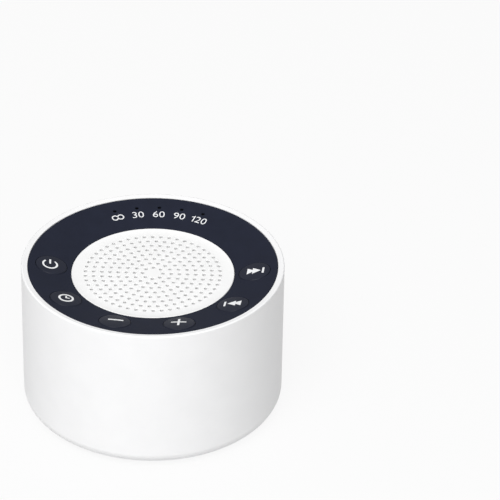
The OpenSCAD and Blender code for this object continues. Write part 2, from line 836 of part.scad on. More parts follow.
// Corrugated disc that centres the coil, flat where it is glued to the former and to the basket's step
module spider() {
    waves = 4;
    steps = waves * 6;
    rise = 0.5;
    in_r = coil_r + laid_gap;
    out_r = spider_seat_r - 0.2;
    wave_in = in_r + 1;
    wave_out = basket_floor_r - 0.3;
    function wave(k) = let (t = k / steps)
        [wave_in + (wave_out - wave_in) * t, spider_seat_z + rise * sin(t * 360 * waves)];
    color([0.8, 0.65, 0.35]) rotate_extrude() polygon(concat(
        [[in_r, spider_seat_z]],
        [for (k = [0:steps]) wave(k)],
        [[out_r, spider_seat_z], [out_r, spider_seat_z + spider_t]],
        [for (k = [steps:-1:0]) wave(k) + [0, spider_t]],
        [[in_r, spider_seat_z + spider_t]]
    ));
}

module top_plate() {
    color(zinc) translate([0, 0, plate_low]) washer(magnet_r - plate_inset, plate_bore_r, plate_t);
}

module magnet() {
    color(black) translate([0, 0, magnet_low]) washer(magnet_r, magnet_bore_r, magnet_t);
}

module yoke() {
    color(zinc) rotate_extrude() polygon([
        [0, yoke_low],
        [magnet_r - plate_inset, yoke_low],
        [magnet_r - plate_inset, magnet_low],
        [pole_r, magnet_low],
        [pole_r, plate_top],
        [0, plate_top]
    ]);
}

// Insulating strip with two solder lugs, riveted to the basket's tab
module speaker_terminals() {
    low_z = flange_low - tab_h;
    color([0.55, 0.35, 0.2]) {
        translate([-tab_w / 2, tab_y + tab_t, low_z + 0.5]) cube([tab_w, strip_t, strip_h]);
        for (x = [-1, 1]) translate([x * wire_pitch - lug[0] / 2, lug_out_y - lug[1], low_z - 0.5]) cube(lug);
    }
}

module speaker_screws() {
    color(steel) for (a = speaker_screw_angles) on_circle(speaker_screw_circle_r, a)
        translate([0, 0, flange_low]) small_screw(speaker_screw_bite, speaker_screw_head_r);
}

module main_board() {
    color(board_green) translate([0, 0, board_low]) linear_extrude(main_board_t) difference() {
        intersection() {
            circle(board_r);
            translate([-board_side, board_front]) square([2 * board_side, board_r]);
        }
        for (p = standoff_places) translate(p) circle(small_screw_r + board_screw_gap, $fn = small_fn);
    }
}

// Chip of l by w by h with rows of legs along its two long sides
module chip(l, w, h, legs) {
    lift = 0.15;
    leg = [0.4, 1.2, 0.3];
    leg_out = 0.3;
    pitch = l / legs;
    translate([-l / 2, -w / 2, lift]) cube([l, w, h - lift]);
    for (i = [0:legs - 1], s = [-1, 1])
        translate([-l / 2 + (i + 0.5) * pitch - leg[0] / 2, s * (w / 2 + leg_out) - leg[1] / 2, 0]) cube(leg);
}

module board_chips() {
    row_y = (board_front + board_r) / 2;
    color(black) {
        translate([0, row_y, board_top]) chip(9.9, 3.9, 1.75, 8);
        for (x = [-12, 12]) translate([x, row_y, board_top]) chip(4.9, 3.9, 1.6, 4);
        translate([9.5, board_r - 8, board_top]) chip(2.9, 1.6, 1.1, 3);
    }
}

module board_capacitors() {
    can_r = 3.15;
    can_h = 7;
    groove = [0.3, 0.5];
    groove_z = can_h - 1.2;
    color([0.2, 0.22, 0.3]) for (x = [-15, -8]) translate([x, board_r - 7.5, board_top]) difference() {
        cylinder(r = can_r, h = can_h, $fn = screw_fn);
        translate([0, 0, groove_z]) washer(can_r + eps, can_r - groove[0], groove[1]);
    }
}

module lead_socket(w, l, h) {
    translate([-w / 2, -l / 2, 0]) cube([w, l, h]);
}

module lead_sockets() {
    color(cream) {
        for (p = [speaker_socket_place, battery_socket_place]) translate([p[0], p[1], board_top])
            lead_socket(lead_socket_w, lead_socket_l, lead_socket_h);
        translate([ribbon_socket_x, ribbon_y, board_top])
            lead_socket(ribbon_socket_w, ribbon_socket_l, lead_socket_h);
    }
}

module power_socket() {
    color(steel) translate([0, socket_mouth, socket_z]) rotate([90, 0, 0]) linear_extrude(socket_l) difference() {
        round_rect(socket_w, socket_h, socket_round);
        round_rect(socket_w - 2 * socket_wall, socket_h - 2 * socket_wall, socket_round - socket_wall);
    }
}

module power_socket_tongue() {
    rim = socket_wall + screw_gap;
    color(black) translate([0, socket_mouth - socket_l, socket_z]) rotate([-90, 0, 0]) {
        linear_extrude(tongue_back) round_rect(socket_w - 2 * rim, socket_h - 2 * rim, socket_round - rim);
        linear_extrude(socket_l - tongue_dip) square([tongue_w, tongue_t], center = true);
    }
}

module main_board_screws() {
    color(steel) for (p = standoff_places) translate([p[0], p[1], board_top]) rotate([180, 0, 0])
        small_screw(main_board_t + board_screw_bite, small_head_r);
}

// Pouch cell with rounded long edges
module battery() {
    color([0.75, 0.77, 0.8]) translate([-cell_w / 2, cell_y, cell_z + cell_t / 2]) rotate([90, 0, 90])
        linear_extrude(cell_w) round_rect(cell_l, cell_t, cell_round);
}

module protection_board() {
    color([0.85, 0.7, 0.25]) translate([0, cell_front + cell_l + cell_board[1] / 2, cell_z + cell_t / 2])
        cube(cell_board, center = true);
}

module battery_pad() {
    color(black) translate([-cell_w / 2 + pad_inset, cell_front + cell_round, base_top])
        cube([cell_w - 2 * pad_inset, cell_l - 2 * cell_round, pad_t]);
}

// Points of a cubic curve from p0 to p3, pulled by p1 and p2
function curve(p0, p1, p2, p3) = [for (k = [0:wire_steps]) let (t = k / wire_steps, s = 1 - t)
    s * s * s * p0 + 3 * s * s * t * p1 + 3 * s * t * t * p2 + t * t * t * p3];
function unit(v) = v / norm(v);
function heading(p, k) = unit(p[min(k + 1, len(p) - 1)] - p[max(k - 1, 0)]);

// Tube of radius r along the points p, which never run along X, with ends that face along start and end
module tube(p, r, start, end) {
    n = len(p);
    along = [for (k = [0:n - 1]) k == 0 ? start : k == n - 1 ? end : heading(p, k)];
    rings = [for (k = [0:n - 1]) let (t = along[k], u = unit(cross(t, [1, 0, 0])), v = cross(t, u))
        for (s = [0:wire_sides - 1]) p[k] + r * (cos(s * 360 / wire_sides) * u + sin(s * 360 / wire_sides) * v)];
    sides = [for (k = [0:n - 2], s = [0:wire_sides - 1]) let (a = k * wire_sides, b = (s + 1) % wire_sides)
        [a + s, a + wire_sides + s, a + wire_sides + b, a + b]];
    first = [for (s = [0:wire_sides - 1]) s];
    last = [for (s = [wire_sides - 1:-1:0]) (n - 1) * wire_sides + s];
    polyhedron(rings, concat(sides, [first, last]));
}

// Pair of wires side by side along X that leaves along start and ends downwards, first_pitch apart at its start
module wire_pair(p0, p1, p2, p3, start, first_pitch) {
    for (x = [-1, 1]) let (a = [x * first_pitch / 2, 0, 0], b = [x * wire_pitch / 2, 0, 0])
        tube(curve(p0 + a, p1 + a, p2 + b, p3 + b), wire_r, start, [0, 0, -1]);
}

module battery_lead() {
    front = cell_front + cell_l + cell_board[1];
    low_z = cell_z + cell_t / 2;
    top_z = board_top + lead_socket_h;
    color([0.7, 0.1, 0.1]) wire_pair(
        [battery_socket_place[0], front, low_z], [battery_socket_place[0], front + 2.5, low_z + 1],
        [battery_socket_place[0], battery_socket_place[1], top_z + 7],
        [battery_socket_place[0], battery_socket_place[1], top_z], [0, 1, 0], wire_pitch);
}

module speaker_lead() {
    lug_y = lug_out_y + wire_r;
    top_z = board_top + lead_socket_h;
    color([0.1, 0.1, 0.1]) wire_pair(
        [0, lug_y, flange_low - 5], [0, lug_y + 1, flange_low - 16],
        [speaker_socket_place[0], speaker_socket_place[1], top_z + 12],
        [speaker_socket_place[0], speaker_socket_place[1], top_z], [0, 0, -1], 2 * wire_pitch);
}

// Flat cable from the key board down to the main board, bent in one plane
module ribbon_cable() {
    top_z = key_board_low - key_socket_h;
    low_z = board_top + lead_socket_h;
    p = curve([key_socket_x, top_z], [key_socket_x + 3, top_z - 12],
        [ribbon_socket_x, low_z + 12], [ribbon_socket_x, low_z]);
    last = len(p) - 1;
    along = [for (k = [0:last]) k == 0 || k == last ? [0, -1] : heading(p, k)];
    side = [for (t = along) [-t[1], t[0]] * ribbon_t / 2];
    color([0.6, 0.6, 0.62]) translate([0, ribbon_y + ribbon_w / 2]) rotate([90, 0, 0])
        linear_extrude(ribbon_w) polygon(concat([for (k = [0:last]) p[k] + side[k]], [for (k = [last:-1:0]) p[k] - side[k]]));
}

module base_screws() {
    length = well_top - well_floor + post_screw_bite;
    color(steel) for (a = post_angles) on_circle(post_circle_r, a) translate([0, 0, well_floor])
        screw(length, screw_r, screw_head_d / 2, screw_head_h, 0.6);
}

module rubber_foot(a) {
    color([0.75, 0.75, 0.76]) on_circle(foot_circle_r, a)
        rotate_extrude() difference() {
            square([foot_r, foot_h]);
            translate([foot_r, 0]) mirror([1, 0]) corner_cut(foot_edge);
        }
}

outer_shell();
base_cover();
control_ring();
grille();
dust_mesh();
light_pipe();
button(0);  // power_button
button(1);  // timer_button
button(2);  // volume_down_button
button(3);  // volume_up_button
button(4);  // previous_button
button(5);  // next_button
plunger(0);  // power_plunger
plunger(1);  // timer_plunger
plunger(2);  // volume_down_plunger
plunger(3);  // volume_up_plunger
plunger(4);  // previous_plunger
plunger(5);  // next_plunger
tact_switch(0);  // power_switch
tact_switch(1);  // timer_switch
tact_switch(2);  // volume_down_switch
tact_switch(3);  // volume_up_switch
tact_switch(4);  // previous_switch
tact_switch(5);  // next_switch
key_board();
key_board_screws();
timer_leds();
key_board_socket();
speaker_gasket();
speaker_basket();
surround();
cone();
dust_cap();
coil_former();
voice_coil();
spider();
top_plate();
magnet();
yoke();
speaker_terminals();
speaker_screws();
main_board();
board_chips();
board_capacitors();
lead_sockets();
power_socket();
power_socket_tongue();
main_board_screws();
battery();
protection_board();
battery_pad();
battery_lead();
speaker_lead();
ribbon_cable();
base_screws();
rubber_foot(270);  // rubber_foot_front
rubber_foot(0);  // rubber_foot_right
rubber_foot(90);  // rubber_foot_back
rubber_foot(180);  // rubber_foot_left
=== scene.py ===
import json
from math import acos, asin, atan, cos, degrees, hypot, pi, radians, sin

import bmesh
import bpy
from mathutils import Matrix, Vector


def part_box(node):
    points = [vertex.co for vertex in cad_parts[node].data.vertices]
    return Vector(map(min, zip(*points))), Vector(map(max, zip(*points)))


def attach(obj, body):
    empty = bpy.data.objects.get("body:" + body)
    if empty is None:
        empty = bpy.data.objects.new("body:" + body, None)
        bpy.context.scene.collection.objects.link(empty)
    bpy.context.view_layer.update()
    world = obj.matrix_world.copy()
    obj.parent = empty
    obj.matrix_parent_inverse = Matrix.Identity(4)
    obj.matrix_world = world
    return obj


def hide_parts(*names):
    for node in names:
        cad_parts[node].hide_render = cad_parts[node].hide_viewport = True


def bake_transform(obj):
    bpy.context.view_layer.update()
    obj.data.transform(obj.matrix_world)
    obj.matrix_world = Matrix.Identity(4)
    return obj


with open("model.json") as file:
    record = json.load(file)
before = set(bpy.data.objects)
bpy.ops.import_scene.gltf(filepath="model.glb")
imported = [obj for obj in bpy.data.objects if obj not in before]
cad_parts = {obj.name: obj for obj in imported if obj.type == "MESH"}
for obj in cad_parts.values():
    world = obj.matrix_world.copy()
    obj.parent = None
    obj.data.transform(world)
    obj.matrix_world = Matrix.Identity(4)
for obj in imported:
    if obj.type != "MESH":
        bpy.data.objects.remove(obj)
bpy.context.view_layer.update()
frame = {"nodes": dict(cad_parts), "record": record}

# Round tabletop sound machine. All pieces are modelled in millimetres and scaled to metres when finished.
mm = 0.001
mergeDistance = 1e-4
overlap = 0.5  # how far a joined shape reaches into its neighbour
spare = 1  # how far a cutter reaches past a face


# The point on the machine's axis at aimHeight shows at aim, in pixels of a picture that is pictureSize wide
cameraValues = {
    "azimuth": 3.42, "elevation": 33.09, "distance": 1.08, "focalPixels": 3159,
    "pictureSize": 500, "aim": (152.95, 265.0), "aimHeight": 0.053, "sensorWidth": 36, "clip": (0.05, 20),
}


def makeCamera(v):
    data = bpy.data.cameras.new("camera")
    data.sensor_width = v["sensorWidth"]
    data.lens = v["focalPixels"] * v["sensorWidth"] / v["pictureSize"]
    data.clip_start, data.clip_end = v["clip"]
    turn, lift = radians(v["azimuth"]), radians(v["elevation"])
    back = Vector((sin(turn) * cos(lift), -cos(turn) * cos(lift), sin(lift)))
    middle = v["pictureSize"] / 2
    across, down = v["aim"]
    aim = Vector(((across - middle) / v["focalPixels"], (middle - down) / v["focalPixels"], -1))
    camera = bpy.data.objects.new("camera", data)
    bpy.context.scene.collection.objects.link(camera)
    camera.location = Vector((0, 0, v["aimHeight"])) + back * v["distance"]
    camera.rotation_mode = "QUATERNION"
    straight = (-back).to_track_quat("-Z", "Y")
    camera.rotation_quaternion = straight @ Vector((0, 0, -1)).rotation_difference(aim).inverted()
    bpy.context.scene.camera = camera


makeCamera(cameraValues)
print("camera placed")


class Wire:
    # One output socket in a material. Sums on it are written as plain expressions.
    def __init__(self, finish, socket):
        self.finish = finish
        self.socket = socket

    def maths(self, operation, first, second):
        return self.finish.node("ShaderNodeMath", {"operation": operation}, {0: first, 1: second})

    def __add__(self, other):
        return self.maths("ADD", self, other)

    def __radd__(self, other):
        return self.maths("ADD", other, self)

    def __sub__(self, other):
        return self.maths("SUBTRACT", self, other)

    def __rsub__(self, other):
        return self.maths("SUBTRACT", other, self)

    def __mul__(self, other):
        return self.maths("MULTIPLY", self, other)

    def __rmul__(self, other):
        return self.maths("MULTIPLY", other, self)

    def __truediv__(self, other):
        return self.maths("DIVIDE", self, other)


class Finish:
    # A material with one Principled shader. node() adds any other node to it.
    def __init__(self, name):
        self.material = bpy.data.materials.new(name)
        self.material.use_nodes = True
        self.tree = self.material.node_tree
        self.shader = self.tree.nodes["Principled BSDF"]
        self.place = self.node("ShaderNodeTexCoord", out="Object")

    def node(self, kind, settings=None, sockets=None, out=0):
        made = self.tree.nodes.new(kind)
        for key, value in (settings or {}).items():
            setattr(made, key, value)
        for key, value in (sockets or {}).items():
            self.feed(made.inputs[key], value)
        return Wire(self, made.outputs[out])

    def feed(self, socket, value):
        if isinstance(value, Wire):
            self.tree.links.new(value.socket, socket)
        else:
            socket.default_value = value

    def set(self, **values):
        for key, value in values.items():
            words = "".join(" " + c if c.isupper() else c for c in key).strip().title()
            self.feed(self.shader.inputs[words.replace("Ior", "IOR")], value)

    def noise(self, size, detail=2):
        sockets = {"Vector": self.place, "Scale": 1 / (size * mm), "Detail": detail}
        return self.node("ShaderNodeTexNoise", None, sockets)

    def steps(self, wire, low, high):
        return self.node("ShaderNodeMapRange", None, {"Value": wire, "From Min": low, "From Max": high})

    def blend(self, factor, first, second):
        return self.node("ShaderNodeMix", {"data_type": "RGBA"}, {0: factor, 6: first, 7: second}, out=2)

    def bump(self, height, depth):
        sockets = {"Height": height, "Strength": 1, "Distance": depth * mm}
        return self.node("ShaderNodeBump", None, sockets, out="Normal")

    def axis(self, name):
        return self.node("ShaderNodeSeparateXYZ", None, {0: self.place}, out=name)

    def wave(self, name, length):
        # Rises and falls between 0 and 1, once in each length along an axis
        turn = self.axis(name) * (2 * pi / (length * mm))
        return 0.5 + 0.5 * self.node("ShaderNodeMath", {"operation": "SINE"}, {0: turn})


def shade(colour, factor):
    return (*[min(1, c * factor) for c in colour[:3]], 1)


def surface(colour, vary, rough, grain, depth, metal=0, ior=0.5):
    # How far the colour varies, the roughness, and the size and depth of the grain in mm
    return dict(colour=colour, vary=vary, rough=rough, grain=grain, depth=depth, metal=metal, ior=ior)


finishes = {
    "white_housing": surface((0.87, 0.87, 0.875), 0.02, 0.42, 0.22, 0.004),
    "white_grille": surface((0.89, 0.89, 0.89), 0.02, 0.48, 0.16, 0.003),
    "navy_panel": surface((0.0138, 0.0168, 0.0312), 0.12, 0.62, 0.12, 0.006, ior=0.15),
    "navy_button": surface((0.0142, 0.0168, 0.0305), 0.12, 0.42, 0.1, 0.004, ior=0.24),
    "white_print": surface((0.85, 0.86, 0.87), 0.03, 0.5, 0.08, 0.002),
    # The clear light rods take a near-black colour: painted shade that stands in for the dark housing seen
    # through them
    "clear_rods": surface((0.0015, 0.0015, 0.002), 0.1, 0.4, 0.6, 0.001, ior=0.03),
    "black_plastic": surface((0.022, 0.022, 0.023), 0.15, 0.5, 0.2, 0.006),
    "cream_plastic": surface((0.76, 0.70, 0.56), 0.05, 0.42, 0.3, 0.004),
    "bright_steel": surface((0.66, 0.66, 0.67), 0.08, 0.28, 0.5, 0.003, metal=1),
    "plated_steel": surface((0.55, 0.56, 0.58), 0.14, 0.38, 0.9, 0.005, metal=1),
    "ferrite": surface((0.045, 0.045, 0.05), 0.3, 0.62, 0.4, 0.015),
    "black_foam": surface((0.018, 0.018, 0.018), 0.4, 0.9, 0.35, 0.08),
    "surround_rubber": surface((0.02, 0.02, 0.021), 0.15, 0.6, 0.3, 0.006),
    "cone_paper": surface((0.045, 0.045, 0.05), 0.35, 0.85, 0.5, 0.03),
    "former_film": surface((0.5, 0.24, 0.06), 0.1, 0.3, 0.8, 0.003),
    "spider_cloth": surface((0.62, 0.42, 0.16), 0.25, 0.85, 0.25, 0.03),
    "terminal_strip": surface((0.30, 0.16, 0.07), 0.3, 0.55, 0.6, 0.008),
    "capacitor_sleeve": surface((0.02, 0.03, 0.08), 0.1, 0.3, 0.8, 0.004),
    "cell_foil": surface((0.70, 0.71, 0.73), 0.1, 0.34, 2.4, 0.05, metal=0.9),
    "red_wire": surface((0.45, 0.02, 0.02), 0.1, 0.4, 0.4, 0.004),
    "black_wire": surface((0.015, 0.015, 0.015), 0.1, 0.4, 0.4, 0.004),
    "grey_rubber": surface((0.42, 0.42, 0.43), 0.08, 0.78, 0.18, 0.012),
    "contact_gold": surface((0.83, 0.62, 0.28), 0.06, 0.25, 0.2, 0.001, metal=1),
}
# Clouds are so many grains wide, and take this share of the colour's pattern
cloudValues = {"size": 40, "detail": 3, "share": 0.6, "low": 0.35, "high": 0.65, "gloss": 0.12}


def plainFinish(name, v, cloudy):
    # Moulded, painted or plated surface: cloudy colour, uneven gloss and a fine grain
    finish = Finish(name)
    cloud = finish.noise(v["grain"] * cloudy["size"], cloudy["detail"])
    grain = finish.noise(v["grain"])
    share = cloudy["share"]
    mixed = finish.steps(cloud * share + grain * (1 - share), cloudy["low"], cloudy["high"])
    light, dark = shade(v["colour"], 1 + v["vary"] / 2), shade(v["colour"], 1 - v["vary"])
    finish.set(
        baseColor=finish.blend(mixed, dark, light),
        roughness=v["rough"] + (cloud - 0.5) * cloudy["gloss"],
        metallic=v["metal"],
        normal=finish.bump(grain, v["depth"]),
        specularIorLevel=v["ior"],
    )
    return finish.material


# Threads of cloth, turns of wire or cores of a cable: they lie side by side along one axis, or cross. Their
# colour is darker in the grooves between them and lighter on their crests, as painted shade and painted light
bandedFinishes = {
    "black_cloth": {
        "axes": "XY", "pitch": 0.28, "depth": 0.08, "colour": (0.03, 0.03, 0.032), "dark": 0.3, "light": 1.5,
        "rough": 0.8, "vary": 0.1, "metal": 0,
    },
    "copper_wire": {
        "axes": "Z", "pitch": 0.22, "depth": 0.06, "colour": (0.62, 0.24, 0.08), "dark": 0.35, "light": 1.2,
        "rough": 0.3, "vary": 0.08, "metal": 0.85,
    },
    "grey_ribbon": {
        "axes": "Y", "pitch": 1.0, "depth": 0.12, "colour": (0.40, 0.40, 0.42), "dark": 0.6, "light": 1.1,
        "rough": 0.42, "vary": 0.08, "metal": 0,
    },
}


def bandedFinish(name, v):
    finish = Finish(name)
    bands = finish.wave(v["axes"][0], v["pitch"])
    for axis in v["axes"][1:]:
        bands = bands * finish.wave(axis, v["pitch"])
    finish.set(
        # Painted shade in the grooves and painted light on the crests: the colour runs from dark to light
        # with the bands
        baseColor=finish.blend(bands, shade(v["colour"], v["dark"]), shade(v["colour"], v["light"])),
        roughness=v["rough"] + bands * v["vary"],
        metallic=v["metal"],
        normal=finish.bump(bands, v["depth"]),
    )
    return finish.material


boardValues = {
    "mask": (0.008, 0.10, 0.035, 1), "track": (0.02, 0.17, 0.07, 1), "pitch": 2.2, "random": 0.35,
    "edge": (0.05, 0.09), "rough": 0.28, "vary": 0.12, "grain": 0.4, "grainShare": 0.1, "depth": 0.03,
}


def boardFinish(v):
    # Solder mask over copper tracks
    finish = Finish("board_laminate")
    cells = finish.node(
        "ShaderNodeTexVoronoi", {"feature": "DISTANCE_TO_EDGE"},
        {"Vector": finish.place, "Scale": 1 / (v["pitch"] * mm), "Randomness": v["random"]},
    )
    track = 1 - finish.steps(cells, *v["edge"])
    grain = finish.noise(v["grain"])
    finish.set(
        baseColor=finish.blend(track, v["mask"], v["track"]),
        roughness=v["rough"] + grain * v["vary"],
        normal=finish.bump(track + grain * v["grainShare"], v["depth"]),
    )
    return finish.material


materials = {name: plainFinish(name, values, cloudValues) for name, values in finishes.items()}
for name, values in bandedFinishes.items():
    materials[name] = bandedFinish(name, values)
materials["board_laminate"] = boardFinish(boardValues)
print("materials made:", len(materials))

# Every carried-over node takes the finish of its slot in the record
for subpart in frame["record"]["subparts"]:
    mesh = frame["nodes"][subpart["node"]].data
    mesh.materials.clear()
    mesh.materials.append(materials[subpart["material_slot"]])


def arcPoints(x, z, radius, start, end, steps):
    # Points on an arc, its angles in degrees
    turns = [radians(start + (end - start) * k / steps) for k in range(steps + 1)]
    return [(x + radius * cos(turn), z + radius * sin(turn)) for turn in turns]


def lathe(profile, turns=192, closed=True):
    # profile holds radius and height; a closed one makes a ring, an open one starts and ends on the axis
    bm = bmesh.new()
    verts = [bm.verts.new((r, 0, z)) for r, z in profile]
    edges = [bm.edges.new(pair) for pair in zip(verts, verts[1:])]
    if closed:
        edges.append(bm.edges.new((verts[-1], verts[0])))
    bmesh.ops.spin(bm, geom=verts + edges, axis=(0, 0, 1), angle=2 * pi, steps=turns, use_merge=True)
    bmesh.ops.remove_doubles(bm, verts=bm.verts, dist=mergeDistance)
    bmesh.ops.recalc_face_normals(bm, faces=bm.faces)
    return bm


def moved(bm, *matrices):
    for matrix in matrices:
        bmesh.ops.transform(bm, matrix=matrix, verts=bm.verts)
    return bm


def rod(radius, low, high, turns=48):
    return lathe([(0, low), (radius, low), (radius, high), (0, high)], turns, closed=False)


def bevelled(bm, edges, width):
    bmesh.ops.bevel(
        bm, geom=edges, offset=width, segments=2, profile=0.5, affect="EDGES", material=-1)
    return bm


def block(size, centre, edge=0):
    bm = bmesh.new()
    bmesh.ops.create_cube(bm, size=1)
    bmesh.ops.scale(bm, vec=size, verts=bm.verts)
    bmesh.ops.translate(bm, vec=centre, verts=bm.verts)
    return bevelled(bm, bm.edges[:], edge) if edge else bm


def around(radius, angle):
    # Place on a circle round the axis, turned to face outwards
    return Matrix.Rotation(radians(angle), 4, "Z") @ Matrix.Translation((radius, 0, 0))


def rods(circle, angles, radius, low, high, turns=48):
    # One upright rod at each angle of a circle
    return [moved(rod(radius, low, high, turns), around(circle, angle)) for angle in angles]


def joined(shapes):
    whole = bmesh.new()
    for shape in shapes:
        mesh = bpy.data.meshes.new("joined")
        shape.to_mesh(mesh)
        whole.from_mesh(mesh)
        bpy.data.meshes.remove(mesh)
        shape.free()
    return whole


def helperObject(bm):
    mesh = bpy.data.meshes.new("helper")
    bm.to_mesh(mesh)
    bm.free()
    helper = bpy.data.objects.new("helper", mesh)
    bpy.context.scene.collection.objects.link(helper)
    return helper


def combined(bm, others, operation):
    # others are closed shapes that are added to or cut from bm
    target = helperObject(bm)
    tools = helperObject(joined(others))
    boolean = target.modifiers.new("combine", "BOOLEAN")
    boolean.object = tools
    boolean.operation = operation
    boolean.solver = "EXACT"
    boolean.use_self = True
    result = bpy.data.meshes.new_from_object(target.evaluated_get(bpy.context.evaluated_depsgraph_get()))
    made = bmesh.new()
    made.from_mesh(result)
    bmesh.ops.remove_doubles(made, verts=made.verts, dist=mergeDistance)
    for mesh, helper in ((target.data, target), (tools.data, tools)):
        bpy.data.objects.remove(helper)
        bpy.data.meshes.remove(mesh)
    bpy.data.meshes.remove(result)
    return made


def roundedRect(width, height, radius, steps=6):
    # Loop of edges round the origin, in the XY plane
    bm = bmesh.new()
    corners = [(1, 1, 0), (-1, 1, 90), (-1, -1, 180), (1, -1, 270)]
    points = []
    for x, y, start in corners:
        centre = x * (width / 2 - radius), y * (height / 2 - radius)
        points += arcPoints(*centre, radius, start, start + 90, steps)
    verts = [bm.verts.new((x, y, 0)) for x, y in points]
    for pair in zip(verts, verts[1:] + verts[:1]):
        bm.edges.new(pair)
    return bm


def vertsOf(geometry):
    return [item for item in geometry if isinstance(item, bmesh.types.BMVert)]


def thickened(bm, height, keep=False):
    # Extrudes all faces of bm by a height
    out = bmesh.ops.extrude_face_region(bm, geom=bm.faces[:], use_keep_orig=keep)["geom"]
    bmesh.ops.translate(bm, vec=(0, 0, height), verts=vertsOf(out))
    bmesh.ops.recalc_face_normals(bm, faces=bm.faces)
    return bm


def raised(bm, height):
    # Closes the loops of bm and gives them a height
    bmesh.ops.triangle_fill(bm, edges=bm.edges[:], use_beauty=True)
    return thickened(bm, height)


def flexed(piece, inner, outer):
    # Each point is laid on the X axis at its own radius, the transform is baked in, and each point is put
    # back where it was, so the piece keeps its shape and does not bend. The two radii are scaled and the
    # results left unused
    verts = piece.data.vertices
    places = [vert.co.copy() for vert in verts]
    for vert in verts:
        vert.co = (vert.co.xy.length, 0, vert.co.z)
    inner * mm
    outer * mm
    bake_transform(piece)
    for vert, place in zip(verts, places):
        vert.co = place


def finished(name, bm, finish, body, replaced=(), sharp=34):
    # Smooth faces with sharp edges kept, scaled to metres, riding on its body. Two radii in place of the body
    # go to flexed, which leaves the piece unbent and attaches it to no body
    bmesh.ops.scale(bm, vec=(mm, mm, mm), verts=bm.verts)
    for face in bm.faces:
        face.smooth = True
    for edge in bm.edges:
        edge.smooth = edge.calc_face_angle(0) < radians(sharp)
    mesh = bpy.data.meshes.new(name)
    bm.to_mesh(mesh)
    bm.free()
    mesh.materials.append(materials[finish])
    piece = bpy.data.objects.new(name, mesh)
    bpy.context.scene.collection.objects.link(piece)
    weighted = piece.modifiers.new("weighted", "WEIGHTED_NORMAL")
    weighted.keep_sharp = True
    if isinstance(body, tuple):
        flexed(piece, *body)
    else:
        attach(piece, body)
    if replaced:
        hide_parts(*replaced)
    print("made", name)
    return piece


def boxOf(node):
    # Corners of a CAD node's box in mm
    low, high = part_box(node)
    return low / mm, high / mm


# Sizes that several pieces share. The top is one shallow cone, from the sharp upper edge that the housing
# would have to the grille
sharedValues = {
    "edgeHeight": 54.0, "dish": 3.8, "ringSink": 0.1, "baseRound": 4.6, "seatGap": 0.15, "grilleGap": 0.1,
    "buttonCircle": 34.8, "lightCircle": 38.1, "postInset": 5.2,
}
coverLow, coverHigh = boxOf("base_cover")
ringLow, ringHigh = boxOf("control_ring")
grilleHigh = boxOf("grille")[1]
socketLow, socketHigh = boxOf("power_socket")
bodyRadius = boxOf("outer_shell")[1].x
baseHeight = coverLow.z
baseRound = sharedValues["baseRound"]
coverRadius = coverHigh.x
innerRadius = coverRadius + sharedValues["seatGap"]
ringRadius = ringHigh.x
seatRadius = ringRadius + sharedValues["seatGap"]
deckTop = ringLow.z
grilleTop = grilleHigh.z
grilleRadius = grilleHigh.x + sharedValues["grilleGap"]
topSlope = sharedValues["dish"] / (bodyRadius - grilleRadius)
topTilt = degrees(atan(topSlope))
buttonNames = ["power", "timer", "volume_down", "volume_up", "previous", "next"]
buttonCircle = sharedValues["buttonCircle"]
buttonAngles = [180 + 36 * k for k in range(6)]
lightCircle = sharedValues["lightCircle"]
lightAngles = [114 - 12 * k for k in range(5)]
postCircle = innerRadius - sharedValues["postInset"]
postAngles = [36, 144, 234, 306]
toRear = Matrix.Rotation(radians(-90), 4, "X")


def rimZ(radius):
    return sharedValues["edgeHeight"] - topSlope * (bodyRadius - radius)


def ringZ(radius):
    return rimZ(radius) - sharedValues["ringSink"]


shellValues = {
    "rimRound": 0.5, "seatRound": 0.1, "deckThickness": 2.0, "throat": 23.5, "turns": 224,
    "postRadius": 3.2, "ribThickness": 1.6, "ribSink": 0.4, "wellTop": 8.0, "postHole": 14, "screwHole": 1.3,
    "plugWidth": 13, "plugHeight": 7, "plugRound": 2, "plugDepth": 3, "web": 1.1, "inletPlay": 0.25,
    "inletFlat": 0.05, "inletDepth": 4, "stemHole": 2.15, "rodHole": 0.65, "smallHole": 1.05,
    "bossRadius": 2.4, "bossCircle": 31.3, "bossLow": 39.69, "bossAngles": (60, 120, 198, 270, 342),
    "bossHole": 4, "clampRadius": 1.85, "clampCircle": 27, "clampLow": 42.69,
    "clampAngles": (45, 135, 225, 315), "clampHole": 3,
}


def lowerEdge(radius):
    # Centre of the arc of the rounded lower edge, and the angle at which it meets a radius
    centre = bodyRadius - baseRound, baseHeight + baseRound
    return centre, -degrees(acos(max(-1, min(1, (radius - centre[0]) / baseRound))))


